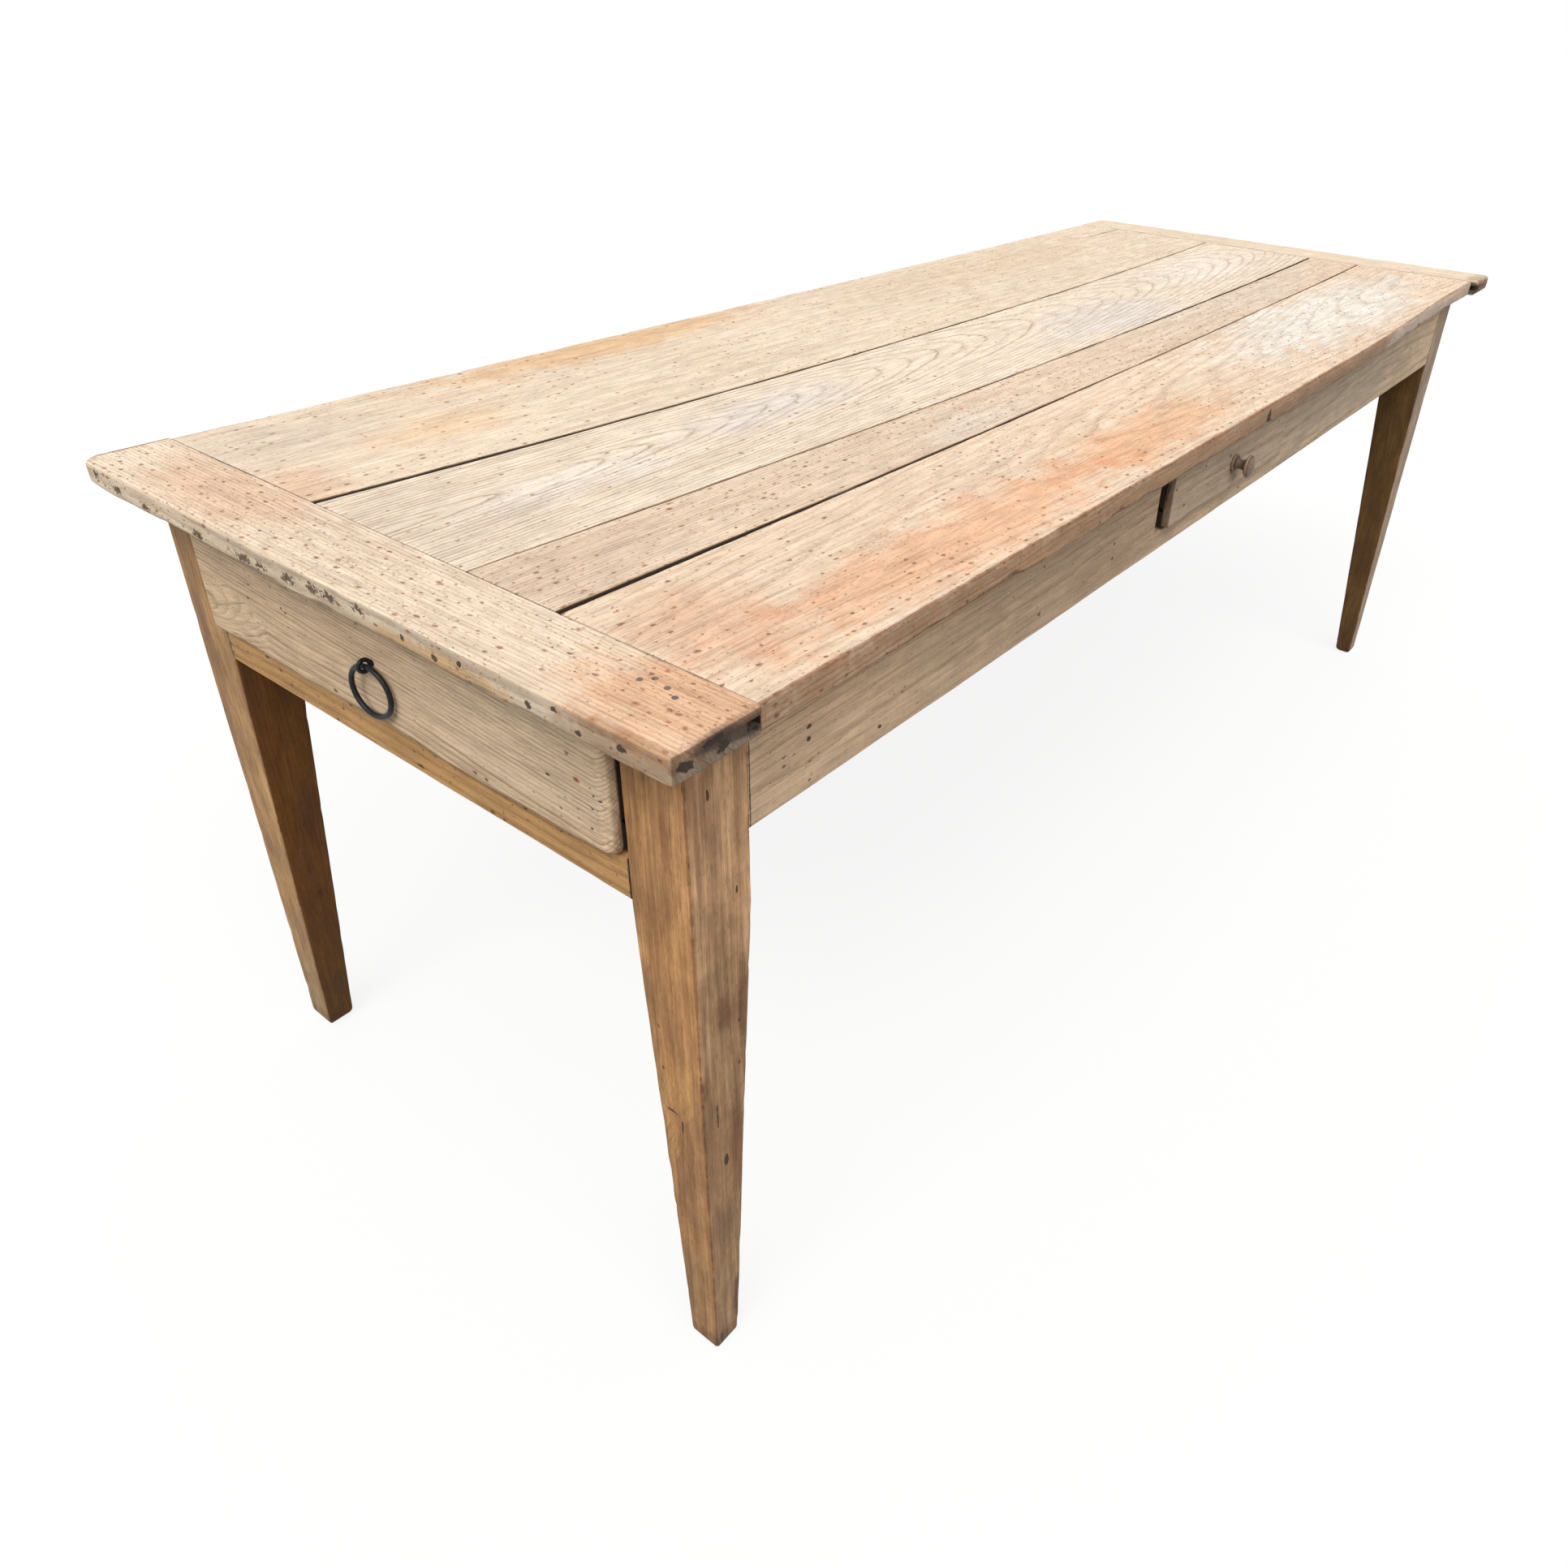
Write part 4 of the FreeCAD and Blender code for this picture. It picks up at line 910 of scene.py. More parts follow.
# Finishes of the aprons and the rail
frame_pit = (0.16, 0.09, 0.05)
apron_holes = [(-0.867, 0.681), (-0.868, 0.669), (-0.773, 0.635)]
apron_oak = oak(
    "apron_oak", "x", (0.83, 0.63, 0.43), (0.58, 0.41, 0.265), (0.30, 0.18, 0.10), pith=(-0.28, 0.655),
    tilt=0.02, ring=0.0055, seed=2.9, lines=0.45, pit=frame_pit, pit_share=0.09, edge=(0.70, 0.63, 0.58),
    stains=[
        ((-0.40, -0.365, 0.67), (0.35, 0.05, 0.08), (0.86, 0.84, 0.86), 1.0),
        ((-0.86, -0.365, 0.68), (0.18, 0.05, 0.08), (1.16, 1.13, 1.12), 1.0),
        ((0.4, -0.365, 0.68), (0.5, 0.05, 0.08), (0.80, 0.86, 0.93), 1.0)],
    holes=[((x, -0.365, z), (0.0030, 0.003, 0.0022)) for x, z in apron_holes]
    # The last two are painted shade lines where the apron meets the legs.
    + [((0.8885, -0.365, 0.68), (0.0020, 0.004, 0.5)), ((-0.9365, -0.365, 0.68), (0.0008, 0.004, 0.5))])
far_apron_oak = oak(
    "far_apron_oak", "y", (0.66, 0.50, 0.35), (0.45, 0.31, 0.20), (0.28, 0.17, 0.10), pith=(1.4, 0.2),
    ring=0.005, seed=7.4, pit=frame_pit, edge=(0.62, 0.55, 0.50))
rail_oak = oak(
    "rail_oak", "y", (0.72, 0.425, 0.180), (0.46, 0.250, 0.095), (0.24, 0.12, 0.06), pith=(-1.35, 0.45),
    ring=0.005, seed=8.2, pit=(0.12, 0.06, 0.03), pit_share=0.30, edge=(0.72, 0.64, 0.58),
    holes=[
        ((-1.004, -0.027, 0.565), (0.003, 0.006, 0.0020)),
        ((-1.004, 0.221, 0.588), (0.003, 0.004, 0.0018)),
        # The last two are painted shade lines where the rail meets the legs.
        ((-1.004, 0.2985, 0.578), (0.006, 0.0016, 0.05)),
        ((-1.004, -0.2985, 0.578), (0.006, 0.0009, 0.05))])

# Finishes of the drawers. Painted shade blackens the gap round a closed drawer and stays on the drawer's ends
# when it is out:
# where it starts and is full along an axis, how far inwards it reaches, and up to which height.
end_gap = ("x", -1.0050, -1.0028)
side_gap = ("y", -0.3665, -0.3640)
front_top = 0.733
over_all = 1.0
end_face = -1.016
end_front_holes = [
    (-0.229, 0.653, 0.0050), (-0.278, 0.662, 0.0022), (-0.281, 0.656, 0.0022), (-0.287, 0.653, 0.0030),
    (-0.291, 0.647, 0.0030), (-0.278, 0.643, 0.0022), (-0.275, 0.623, 0.0022), (-0.231, 0.603, 0.0035),
    (0.193, 0.680, 0.0030), (0.201, 0.664, 0.0030), (0.134, 0.670, 0.0035), (0.140, 0.673, 0.0022)]
end_front_oak = oak(
    "end_front_oak", "y", (0.93, 0.715, 0.485), (0.66, 0.46, 0.29), (0.26, 0.155, 0.085), pith=(-0.90, 0.57),
    tilt=0.06, ring=0.0034, seed=0.6, lines=0.80, fibres=0.58, pit=(0.20, 0.10, 0.055), pit_share=0.10,
    # The ends get the painted shade of the gap round the closed drawer.
    edge=(0.80, 0.74, 0.68), edge_amount=0.4, grime=(*end_gap, -0.990, front_top),
    swirls=[
        ((end_face, 0.300, 0.628), (0.1, 0.120, 0.042), 0.030),
        ((end_face, 0.05, 0.72), (0.1, 0.22, 0.05), 0.010)],
    stains=[
        # Painted shadow of the overhanging top along the upper edge of the front.
        ((end_face, 0.0, 0.742), (0.1, 0.8, 0.045), (0.70, 0.68, 0.64), 1.0),
        ((end_face, -0.18, 0.66), (0.1, 0.18, 0.07), (1.05, 1.08, 1.12), 1.0),
        ((end_face, -0.263, 0.663), (0.004, 0.005, 0.0032), (0.40, 0.20, 0.12), 1.0)],
    holes=[((end_face, y, z), (0.003, reach * 0.7, 0.0012)) for y, z, reach in end_front_holes])
side_front_oak = oak(
    "side_front_oak", "x", (0.69, 0.54, 0.395), (0.46, 0.345, 0.245), (0.24, 0.155, 0.10), pith=(-0.9, 0.5),
    ring=0.005, seed=4.7, pit=(0.12, 0.07, 0.04), pit_share=0.20, edge=(0.76, 0.68, 0.62),
    # The ends get the painted shade of the gap round the closed drawer.
    grime=(*side_gap, -0.353, front_top))


def inner_oak(name, axis, seed, grime=None):
    """The dull oak inside the drawers."""
    return oak(name, axis, (0.52, 0.365, 0.215), (0.35, 0.22, 0.12), (0.16, 0.09, 0.05), pith=(0.6, 0.2),
               ring=0.006, seed=seed, pit=(0.12, 0.07, 0.04), pit_share=0.15, rough=0.74, grime=grime)


def carcase_oak(name, axis, seed):
    """The dark oak inside the frame."""
    return oak(name, axis, (0.16, 0.11, 0.07), (0.10, 0.065, 0.04), (0.05, 0.03, 0.02), pith=(0.6, 0.2),
               ring=0.006, seed=seed, pit=(0.05, 0.03, 0.02), pit_share=0.10, rough=0.78)


inner_oak_x = inner_oak("inner_oak_x", "x", 9.0)
inner_oak_y = inner_oak("inner_oak_y", "y", 10.0)
# The drawer sides take the painted shade of the gap round a closed drawer.
end_side_oak = inner_oak("end_side_oak", "x", 9.4, (*end_gap, -0.9875, over_all))
side_side_oak = inner_oak("side_side_oak", "y", 10.4, (*side_gap, -0.3505, over_all))
carcase_oak_x = carcase_oak("carcase_oak_x", "x", 12.0)
carcase_oak_y = carcase_oak("carcase_oak_y", "y", 13.0)
# The knob's rims are lightened, as rubbed wear and a painted highlight; its creases are darkened by its
# profile as painted shade.
knob_oak = oak(
    "knob_oak", "y", (0.31, 0.220, 0.155), (0.15, 0.100, 0.068), (0.08, 0.05, 0.03), pith=(-0.06, 0.67),
    ring=0.003, seed=2.5, pit=(0.05, 0.03, 0.02), pit_share=0.10, pit_size=(0.004, 0.0005),
    edge=(1.5, 1.45, 1.4), edge_amount=0.6, rough=0.5, end_shade=(1, 1, 1))
black_iron = iron(
    "black_iron", (0.009, 0.009, 0.010), (0.024, 0.024, 0.026), (0.05, 0.035, 0.028),
    rust_share=0.08, rough=0.24, metallic=0.2)
rusted_iron = iron(
    "rusted_iron", (0.10, 0.105, 0.115), (0.20, 0.205, 0.215), (0.17, 0.085, 0.05),
    rust_share=0.55, rough=0.45, metallic=0.5)
nail_iron = iron(
    "nail_iron", (0.13, 0.115, 0.110), (0.30, 0.27, 0.25), (0.22, 0.15, 0.11),
    rust_share=0.45, rough=0.55, metallic=0.2)


# The top

plank_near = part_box("breadboard_near")[1].x + breadboard_gap
plank_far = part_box("breadboard_far")[0].x - breadboard_gap
top_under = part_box("plank_2")[0].z
top_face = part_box("plank_2")[1].z - top_low
board_groove = (tongue_low - tongue_play, tongue_high + tongue_play, groove_depth)


def bow(near, middle, far):
    """A line along the top, by its places at the near end, the middle and the far end."""
    def at(x):
        s = (x - plank_near) / (plank_far - plank_near)
        return near * (1 - s) * (1 - 2 * s) + middle * 4 * s * (1 - s) + far * s * (2 * s - 1)
    return at


def joint_edge(joint, way, seed):
    """One side of an open joint between planks, a little uneven."""
    line = bow(*joint_lines[joint])
    gap = bow(*joint_gaps[joint])

    def at(x):
        uneven = 0.0006 * wander(x, 11, seed, 0) + 0.0003 * wander(x, 40, seed, 3)
        return line(x) + way * (max(gap(x), least_gap) / 2 + abs(uneven) * 0.8)
    return at


def front_edge(x):
    """The front edge of the top, worn back towards the far end."""
    s = min(1.0, max(0.0, (x - front_wear_from) / (front_wear_to - front_wear_from)))
    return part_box("plank_4")[0].y + front_wear * s * s * (3 - 2 * s) + 0.0008 * wander(x, 9, 5, 1)


def back_edge(x):
    """The back edge of the top."""
    return bow(*back_line)(x) - 0.0006 * abs(wander(x, 8, 2, 7))


def plank(name, front, back, arrises, material, seed, front_open=False, back_open=False, drop=0.0):
    """One plank of the top, with a tongue at each end; open says that a side shows instead of a joint."""
    def limits(u):
        a0, a1 = front(u), back(u)
        if u < plank_near or u > plank_far:
            front_set = tongue_end_set if front_open else tongue_play
            return a0 + front_set, a1 - tongue_play, tongue_low, tongue_high
        eased = plank_end_drop * max(0.0, 1 - min(u - plank_near, plank_far - u) / plank_end_ease)
        return a0, a1, top_under, top_face - drop - eased

    # Painted shade, with some soiling: the sides of open joints and the plank ends darken below the face, and
    # the tongues inside the grooves are dark.
    def dirt(u, side, a, b):
        if u < plank_near or u > plank_far:
            return 0.9
        by_front = not front_open and a - front(u) < joint_dirt_and_shade_reach
        by_back = not back_open and back(u) - a < joint_dirt_and_shade_reach
        by_end = min(u - plank_near, plank_far - u) < 0.001
        if not (by_front or by_back or by_end):
            return 0.0
        return min(0.97, max(0.0, (top_face - drop - b - 0.0002) / 0.0008))
    ends = [plank_near - tongue_length, plank_near - step_apart, plank_near, plank_near + plank_end_ease,
            plank_far - plank_end_ease, plank_far, plank_far + step_apart, plank_far + tongue_length]
    places = stations(plank_near + 0.004, plank_far - 0.004, 0.008, also=ends)
    board(name, "x", places, limits, arrises, material, (12, 4), seed, dirt=dirt)


def make_top():
    """Four planks and two breadboards."""
    soft = 0.0013
    plank("plank_1", joint_edge("a", 1, 1), back_edge,
          [worn(soft, 0.5, 1), worn(0.003, 0.5, 2),
           chipped(0.0028, 0.5, 3, -0.9, 0.9, 12, 0.012, 0.003), worn(soft, 0.6, 4)],
          plank_1_oak, 1, back_open=True)
    plank("plank_2", joint_edge("b", 1, 2), joint_edge("a", -1, 3),
          [worn(soft, 0.5, 5), worn(soft, 0.5, 6), worn(0.0016, 0.6, 7), worn(soft, 0.6, 8)],
          plank_2_oak, 2, drop=0.0003)
    plank("plank_3", joint_edge("c", 1, 4), joint_edge("b", -1, 5),
          [worn(soft, 0.5, 9), worn(soft, 0.5, 10), worn(soft, 0.6, 11), worn(0.0017, 0.6, 12)],
          plank_3_oak, 3, drop=0.0001)
    plank("plank_4", front_edge, joint_edge("c", -1, 6),
          [chipped(0.003, 0.7, 13, -0.9, 0.9, 12, 0.012, 0.004, also=[(-0.040, 0.0055, 0.016)]),
           worn(soft, 0.5, 14), worn(0.0018, 0.6, 15),
           chipped(0.0026, 0.35, 16, -0.95, 0.95, 12, 0.010, 0.0014)],
          plank_4_oak, 4, front_open=True, drop=0.0002)
    near_breadboard()
    far_breadboard()


def dirt_and_shade_side(dirty):
    """Painted shade with some soiling, on one side of a board only."""
    return lambda u, side, a, b: groove_dirt_and_shade if side == dirty else 0.0


def near_breadboard():
    """The breadboard at the near end, with a ragged lower edge and a rounded back corner."""
    low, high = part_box("breadboard_near")

    def limits(u):
        outer = low.x + corner_set(u - low.y, 0.006) + corner_set(high.y - u, near_board_corner)
        outer += 0.0005 * wander(u, 9, 3, 3)
        under = 0.0012 * max(0.0, wander(u, 14, 8, 2)) + 0.0005 * wander(u, 50, 4, 2)
        return max(outer, low.x), high.x, top_under + max(under, 0.0), top_face
    arrises = [chipped(0.0032, 0.6, 21, -0.4, 0.4, 9, 0.012, 0.003), worn(0.001, 0.4, 22),
               worn(0.001, 0.5, 23), chipped(0.0028, 0.4, 24, -0.4, 0.4, 9, 0.010, 0.0016)]
    close = round_stations(high.y, -1, near_board_corner)[1:]
    places = stations(low.y, high.y, 0.006, 0.0020, 0.0020, close)
    board("breadboard_near", "y", places, limits, arrises, near_board_oak, (8, 6), 5,
          groove=(1, *board_groove), dirt=dirt_and_shade_side(1), uneven=0.0004)


def far_breadboard():
    """The breadboard at the far end, a little shorter at the front."""
    low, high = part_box("breadboard_far")

    def limits(u):
        outer = high.x - corner_set(u - low.y - far_board_short, 0.004) - corner_set(high.y - u, 0.015)
        return low.x, outer, top_under, top_face
    arrises = [worn(0.001, 0.4, 31), chipped(0.004, 0.9, 32, -0.4, 0.4, 10, 0.014, 0.005),
               chipped(0.0045, 0.5, 33, -0.4, 0.4, 10, 0.012, 0.003), worn(0.001, 0.5, 34)]
    places = stations(low.y + far_board_short, high.y, 0.008, 0.006, 0.003)
    board("breadboard_far", "y", places, limits, arrises, far_board_oak, (8, 6), 6,
          groove=(3, *board_groove), dirt=dirt_and_shade_side(3), uneven=0.0004)


# The frame

def leg(name, material, seed):
    """A square leg that tapers on its two inner faces down to a worn foot."""
    low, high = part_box(name)
    foot_x, foot_y = feet[name]
    square_x, square_y = high.x - low.x, high.y - low.y

    def limits(u):
        s = min(1.0, max(0.0, u / leg_square_from))
        wide_x = foot_x + (square_x - foot_x) * s
        wide_y = foot_y + (square_y - foot_y) * s
        a = (low.x, low.x + wide_x) if low.x < 0 else (high.x - wide_x, high.x)
        b = (low.y, low.y + wide_y) if low.y < 0 else (high.y - wide_y, high.y)
        return (*a, *b)
    arrises = [chipped(0.0026, 0.35, seed + i, 0.0, 0.6, 7, 0.010, 0.0018) for i in range(4)]
    places = stations(low.z, high.z, 0.007, foot_round, 0.0)
    board(name, "z", places, limits, arrises, material, (6, 6), seed)


def apron(name, axis, start, end, material, seed, opening=()):
    """A long or short apron between two legs, with the side drawer's opening if it has one."""
    low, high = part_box(name)
    a_low, a_high = (low.y, high.y) if axis == "x" else (low.x, high.x)

    def limits(u):
        top = drawer_sill if opening and opening[0] < u < opening[1] else high.z
        return a_low, a_high, low.z, top
    also = [edge + way * step_apart for edge in opening for way in (-1, 1)]
    arrises = [chipped(0.0016, 0.25, seed + i, start, end, 4, 0.010, 0.0006) for i in range(2)]
    arrises += [worn(0.0010, 0.4, seed + 2), worn(0.0010, 0.4, seed + 3)]
    places = stations(start - into_leg, end + into_leg, 0.010, also=also)
    board(name, axis, places, limits, arrises, material, (4, 8), seed)


def near_rail(start, end):
    """The rail under the end drawer."""
    low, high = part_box("rail_near")
    arrises = [worn(0.0016, 0.3, 73), worn(0.002, 0.5, 74), worn(0.002, 0.5, 75),
               chipped(0.0020, 0.3, 76, start, end, 4, 0.010, 0.001)]
    places = stations(start - into_leg, end + into_leg, 0.008)
    board("rail_near", "y", places, lambda u: (low.x, high.x, low.z, high.z), arrises, rail_oak,
          (4, 5), 8)


def make_frame():
    """Four legs, three aprons and the near rail."""
    leg("leg_near_front", near_leg_oak, 41)
    leg("leg_near_back", left_leg_oak, 47)
    leg("leg_far_front", far_leg_oak, 53)
    leg("leg_far_back", far_leg_oak, 59)
    near_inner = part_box("leg_near_front")[1].x
    far_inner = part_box("leg_far_front")[0].x
    apron("apron_front", "x", near_inner, far_inner, apron_oak, 61, drawer_opening)
    apron("apron_back", "x", near_inner, far_inner, apron_oak, 67)
    apron("apron_far", "y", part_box("leg_far_front")[1].y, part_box("leg_far_back")[0].y, far_apron_oak, 71)
    near_rail(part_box("leg_near_front")[1].y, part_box("leg_near_back")[0].y)


# The drawers

def merged_copy(side):
    """A closed copy of one solid's mesh, to cut with."""
    shape = bmesh.new()
    shape.from_mesh(nodes[side].data)
    bmesh.ops.remove_doubles(shape, verts=shape.verts, dist=1e-6)
    mesh = bpy.data.meshes.new("socket_tool")
    shape.to_mesh(mesh)
    shape.free()
    tool = bpy.data.objects.new("socket_tool", mesh)
    bpy.context.collection.objects.link(tool)
    return tool


def volume(mesh):
    shape = bmesh.new()
    shape.from_mesh(mesh)
    size = shape.calc_volume()
    shape.free()
    return size


def cut_sockets(front, *sides):
    """Cuts the dovetail sockets in a drawer front with copies of the drawer's own sides.

    The second solver is tried where the first one leaves too little of the front, or cuts nothing.
    """
    whole = volume(front.data)
    tools = [merged_copy(side) for side in sides]
    for solver in ("MANIFOLD", "EXACT"):
        for tool in tools:
            cutter = front.modifiers.new("socket", "BOOLEAN")
            cutter.operation = "DIFFERENCE"
            cutter.solver = solver
            cutter.object = tool
        depsgraph = bpy.context.evaluated_depsgraph_get()
        mesh = bpy.data.meshes.new_from_object(front.evaluated_get(depsgraph))
        front.modifiers.clear()
        if least_left * whole < volume(mesh) < whole:
            front.data = mesh
            mesh.set_sharp_from_angle(angle=smooth_angle)
            break
    for tool in tools:
        spent = tool.data
        bpy.data.objects.remove(tool)
        bpy.data.meshes.remove(spent)


def end_drawer_front():
    """The front of the end drawer, with rounded ends."""
    low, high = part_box("end_drawer_front")
    first, last = end_front_corners

    def limits(u):
        near = corner_set(u - low.y, first) + corner_set(high.y - u, last)
        face = corner_set(u - low.y, 0.007) + corner_set(high.y - u, 0.006)
        return low.x + near, high.x, low.z + face, high.z - face * 0.7
    arrises = [chipped(0.0065, 0.4, 81, -0.28, 0.28, 6, 0.02, 0.003), worn(0.001, 0.3, 82),
               worn(0.001, 0.3, 83), chipped(0.0055, 0.4, 84, -0.28, 0.28, 6, 0.02, 0.003)]
    close = round_stations(low.y, 1, first) + round_stations(high.y, -1, last)
    places = stations(low.y, high.y, 0.008, also=close)
    front = board("end_drawer_front", "y", places, limits, arrises, end_front_oak,
                  (4, 10), 9, body="end_drawer")
    cut_sockets(front, "end_drawer_side_front", "end_drawer_side_back")


def side_drawer_front():
    """The front of the side drawer."""
    low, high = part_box("side_drawer_front")
    first, last = side_front_corners

    def limits(u):
        near = corner_set(u - low.x, first) + corner_set(high.x - u, last)
        return low.y + near, high.y, low.z + near * 0.5, high.z - near * 0.5
    arrises = [chipped(0.0030, 0.4, 91, -0.2, 0.1, 4, 0.015, 0.002), worn(0.001, 0.3, 92),
               worn(0.001, 0.3, 93), chipped(0.0034, 0.4, 94, -0.2, 0.1, 4, 0.015, 0.002)]
    close = round_stations(low.x, 1, first, 6) + round_stations(high.x, -1, last, 6)
    places = stations(low.x, high.x, 0.008, also=close)
    front = board("side_drawer_front", "x", places, limits, arrises, side_front_oak,
                  (4, 8), 10, body="side_drawer")
    cut_sockets(front, "side_drawer_side_near", "side_drawer_side_far")


def make_ring():
    """The hanging ring: a forged wire, thicker at its foot, turned a little and slid aside in its eye."""
    hinge = next(joint for joint in frame["joints"] if joint["name"] == "ring_hinge")
    hang = Vector(hinge["pos_m"])
    sideways = Vector((-math.sin(ring_turn), math.cos(ring_turn), 0))
    flat = Vector((math.cos(ring_turn), math.sin(ring_turn), 0))
    drop = Vector((0, 0, ring_radius * math.cos(ring_slide)))
    middle = hang - sideways * ring_radius * math.sin(ring_slide) - drop
    points = []
    for i in range(ring_rows):
        angle = 2 * math.pi * i / ring_rows
        out = sideways * math.cos(angle) + Vector((0, 0, math.sin(angle)))
        foot = max(0.0, -math.sin(angle + 0.25))
        uneven = noise.noise(Vector((math.cos(angle), math.sin(angle), 1)) * 1.4)
        wire = ring_wire * (0.93 + 0.13 * foot ** 4 + 0.035 * uneven)
        for k in range(ring_sides):
            turn = 2 * math.pi * k / ring_sides
            points.append(middle + out * ring_radius + (out * math.cos(turn) + flat * math.sin(turn)) * wire)
    faces = swept_faces(ring_rows, ring_sides, closed=True)
    make_piece("iron_ring", points, faces, {}, black_iron, "ring", ["ring"])


def make_knob():
    """The turned knob of the side drawer: spigot, flared foot, neck and a dished head with a grooved rim."""
    low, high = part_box("knob")
    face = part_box("side_drawer_front")[0].y
    axis = Vector(((low.x + high.x) / 2, face, (low.z + high.z) / 2))
    inside = high.y - face
    # The third number of each row marks the rims, lightened as wear and a painted highlight; the fourth
    # darkens the crease at the foot, the undersides of the flares and the groove of the rim as painted shade.
    rows = [(-inside * 1000, 0.3, 0, 0), (-inside * 1000, 5.0, 0, 0), (-0.2, 5.0, 0, 0), (-0.1, 10.7, 0, 0.6),
            (0.6, 11.3, 0.5, 0.2), (1.8, 11.5, 0.9, 0), (3.0, 11.3, 0.8, 0), (3.7, 10.6, 0.3, 0.2),
            (4.0, 9.6, 0, 0.9), (4.6, 8.9, 0, 0.7), (6.2, 7.3, 0, 0.2), (8.2, 6.3, 0, 0),
            (10.4, 6.0, 0, 0), (12.6, 6.5, 0, 0.1), (14.6, 8.0, 0, 0.3), (16.2, 10.4, 0.1, 0.2),
            (17.4, 12.8, 0.4, 0), (18.2, 13.9, 0.8, 0), (19.0, 14.4, 1, 0), (20.2, 14.45, 1, 0),
            (21.0, 14.0, 0.8, 0), (21.4, 13.3, 0.2, 0.7), (21.5, 12.7, 0, 0.9), (22.2, 12.2, 0.4, 0.2),
            (23.4, 10.4, 0.2, 0), (24.6, 7.6, 0, 0), (25.4, 4.6, 0, 0), (25.8, 0.4, 0, 0)]
    profile = [(d / 1000, r / 1000, arris, dirt) for d, r, arris, dirt in rows]
    turned("turned_knob", axis, Vector((0, -1, 0)), profile, knob_oak, "side_drawer", ["knob"],
           rough=0.025, seed=4)


# What stays as the solids give it

def finish_nodes():
    """Better finishes on the solids that stay: carcase and drawer parts that show when a drawer is out."""
    kept = [
        (carcase_oak_x, ["end_runner_front", "end_runner_back", "end_guide_front", "end_guide_back"]),
        (carcase_oak_y, ["cross_rail", "side_runner_near", "side_runner_far",
                         "side_guide_near", "side_guide_far", "top_buttons"]),
        (inner_oak_x, ["end_drawer_stops", "side_drawer_back", "side_drawer_bottom"]),
        (inner_oak_y, ["side_drawer_stops", "end_drawer_back", "end_drawer_bottom"]),
        (end_side_oak, ["end_drawer_side_front", "end_drawer_side_back"]),
        (side_side_oak, ["side_drawer_side_near", "side_drawer_side_far"]),
        (black_iron, ["eyebolt", "eyebolt_washer", "eyebolt_nut"]),
        (rusted_iron, ["button_screws", "end_drawer_nails", "side_drawer_nails"]),
        (nail_iron, ["corner_nails"])]
    for material, names in kept:
        for name in names:
            mesh = nodes[name].data
            mesh.materials.clear()
            mesh.materials.append(material)


# Floor, light and camera

def background_seen(tree):
    """1 for the rays that show the white background: from the camera, in a gloss or through glass."""
    ray = add("ShaderNodeLightPath", {}, tree)
    through = calc("MAXIMUM", ray["Is Glossy Ray"], ray["Is Transmission Ray"])
    return calc("MAXIMUM", ray["Is Camera Ray"], through)


def make_floor():
    """A white floor that keeps a faint shadow; for other light it is a plain dark floor."""
    far = floor_reach
    mesh = bpy.data.meshes.new("floor")
    mesh.from_pydata([(-far, -far, 0), (far, -far, 0), (far, far, 0), (-far, far, 0)], [], [(0, 1, 2, 3)])
    floor = bpy.data.objects.new("floor", mesh)
    floor.location.z = -floor_drop
    bpy.context.collection.objects.link(floor)
    material = bpy.data.materials.new("pale_floor")
    tree = empty_tree(material)
    glow = add("ShaderNodeEmission", {"Color": white, "Strength": 1.0}, tree)[0]
    pale = add("ShaderNodeBsdfDiffuse", {"Color": floor_pale}, tree)[0]
    bounce = add("ShaderNodeBsdfDiffuse", {"Color": floor_bounce}, tree)[0]
    shown = add("ShaderNodeMixShader", {0: floor_shadow, 1: glow, 2: pale})[0]
    both = add("ShaderNodeMixShader", {0: background_seen(tree), 1: bounce, 2: shown})[0]
    add("ShaderNodeOutputMaterial", {"Surface": both})
    mesh.materials.append(material)


def way_to(azimuth, elevation):
    """The way from the table to a lamp or the camera, by its angles in degrees."""
    turn, rise = math.radians(azimuth), math.radians(elevation)
    return Vector((math.sin(turn) * math.cos(rise), -math.cos(turn) * math.cos(rise), math.sin(rise)))


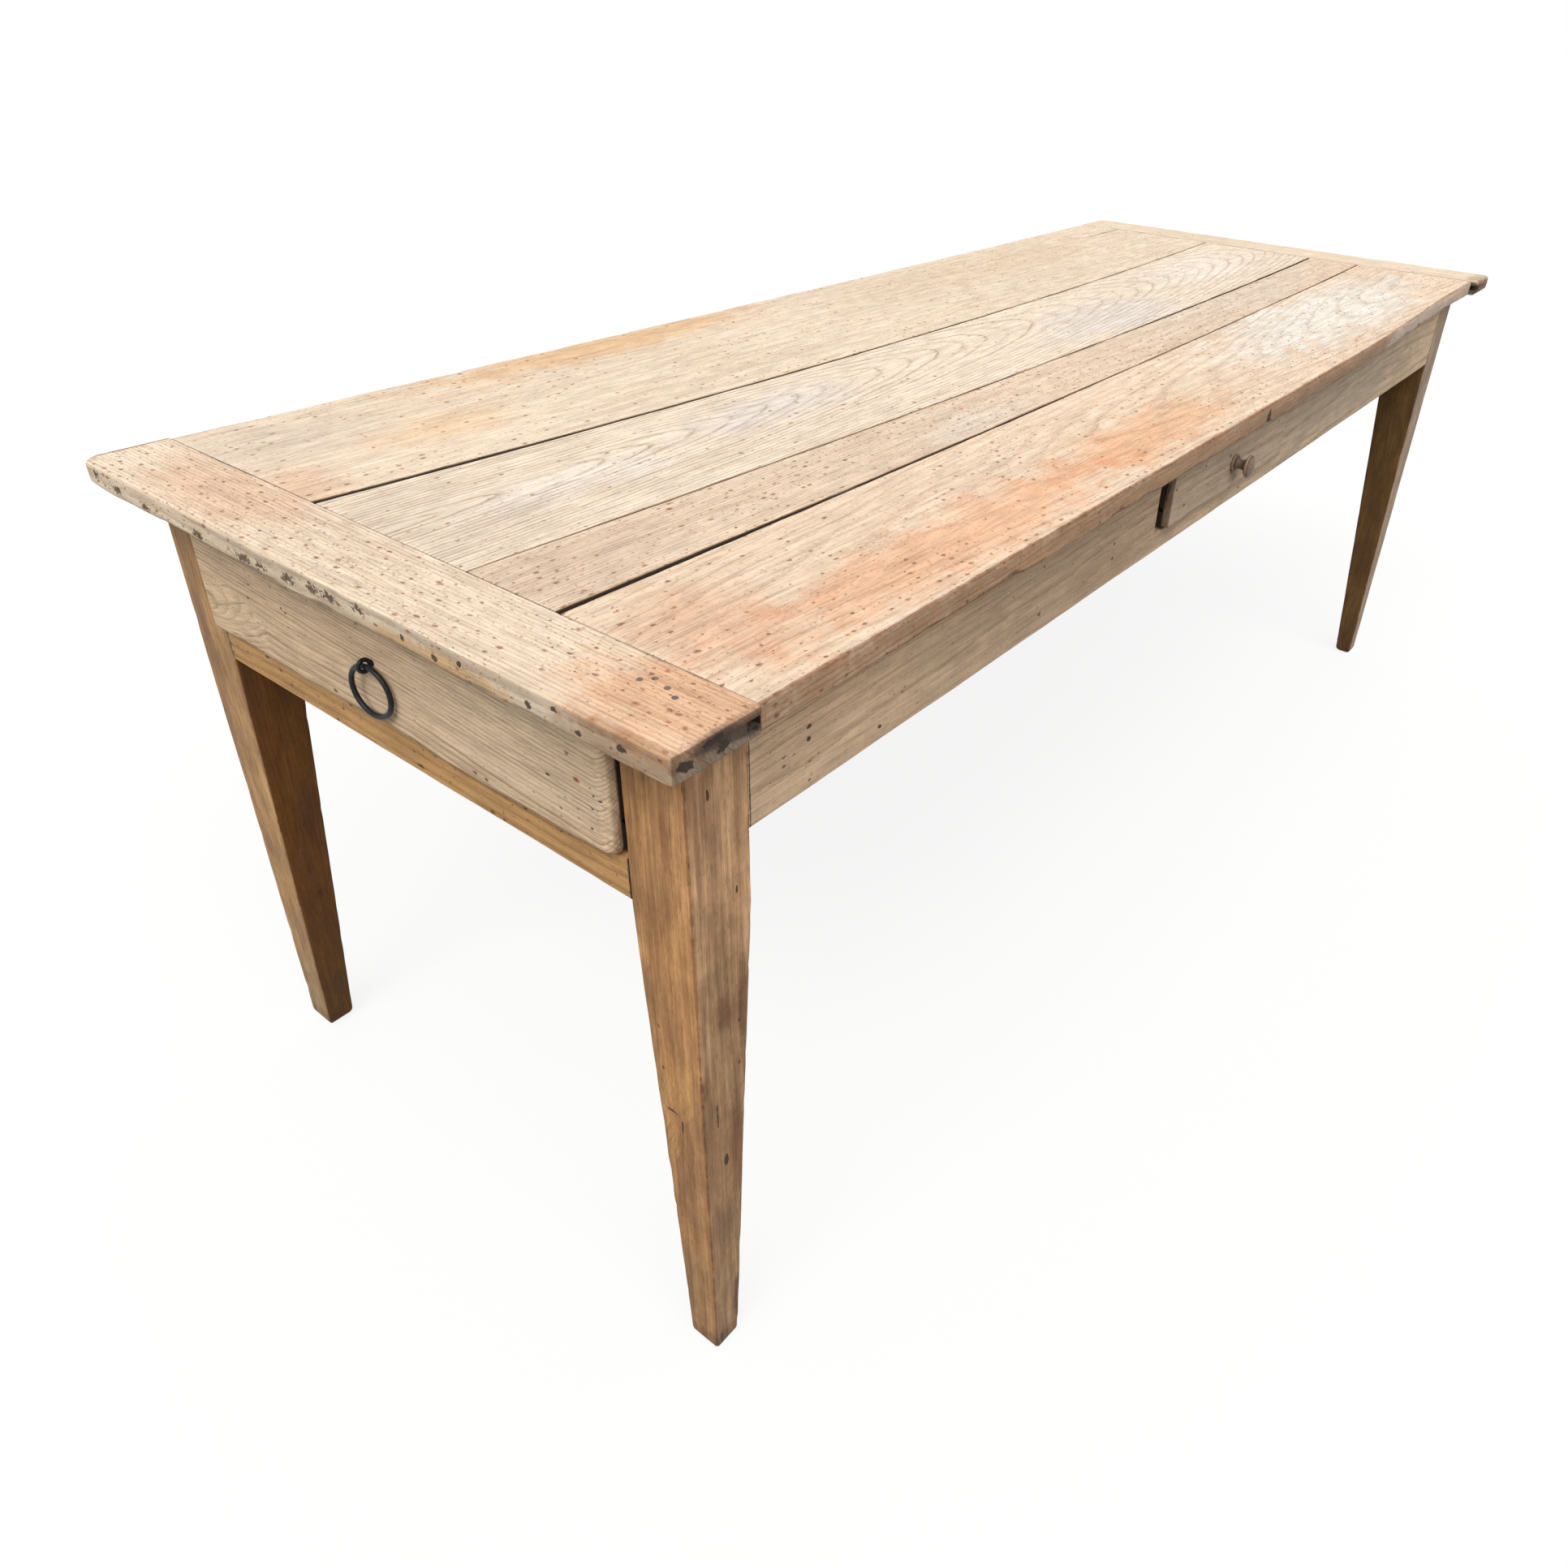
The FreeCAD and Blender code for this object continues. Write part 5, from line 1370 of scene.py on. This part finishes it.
def soft_sun(name, azimuth, elevation, spread_angle, strength):
    """Even light from one direction, soft as from a wide window."""
    lamp = bpy.data.lights.new(name, "SUN")
    lamp.angle = math.radians(spread_angle)
    lamp.energy = strength
    lamp.color = lamp_colour
    back = way_to(azimuth, elevation)
    stand = bpy.data.objects.new(name, lamp)
    stand.location = back * 4
    stand.rotation_euler = (-back).to_track_quat("-Z", "Y").to_euler()
    bpy.context.collection.objects.link(stand)


def make_light():
    """A soft dome, dimmer at the horizon and white where the camera sees it, and two soft lamps."""
    world = bpy.data.worlds.new("studio")
    bpy.context.scene.world = world
    tree = empty_tree(world)
    way = parts(add("ShaderNodeTexCoord", {}, tree)["Generated"])
    height = between(way["Z"], 0.0, 0.65, dome_horizon, dome_zenith)
    dome = add("ShaderNodeBackground", {"Color": dome_colour, "Strength": height})[0]
    plain = add("ShaderNodeBackground", {"Color": white, "Strength": 1.0}, tree)[0]
    both = add("ShaderNodeMixShader", {0: background_seen(tree), 1: dome, 2: plain})[0]
    add("ShaderNodeOutputWorld", {"Surface": both})
    soft_sun("high_light", -30, 46, 50, 1.45)
    soft_sun("end_light", -80, 50, 30, 1.28)


def make_camera():
    """The photo's own view."""
    camera = bpy.data.cameras.new("camera")
    camera.sensor_width = sensor_width
    camera.lens = focal_pixels * sensor_width / picture_size
    camera.shift_x = (picture_size / 2 - middle_pixel[0]) / picture_size
    camera.shift_y = (middle_pixel[1] - picture_size / 2) / picture_size
    camera.clip_start = 0.01
    back = way_to(camera_azimuth, camera_elevation)
    level = Vector((0, 0, 1)).cross(back).normalized()
    roll = math.radians(camera_roll)
    right = level * math.cos(roll) + back.cross(level) * math.sin(roll)
    up = back.cross(right)
    holder = bpy.data.objects.new("camera", camera)
    holder.matrix_world = Matrix((right, up, back)).transposed().to_4x4()
    holder.matrix_world.translation = camera_place
    bpy.context.collection.objects.link(holder)
    bpy.context.scene.camera = holder


make_top()
make_frame()
end_drawer_front()
side_drawer_front()
make_ring()
make_knob()
finish_nodes()
make_floor()
make_light()
make_camera()
bpy.context.scene.view_settings.view_transform = "Standard"
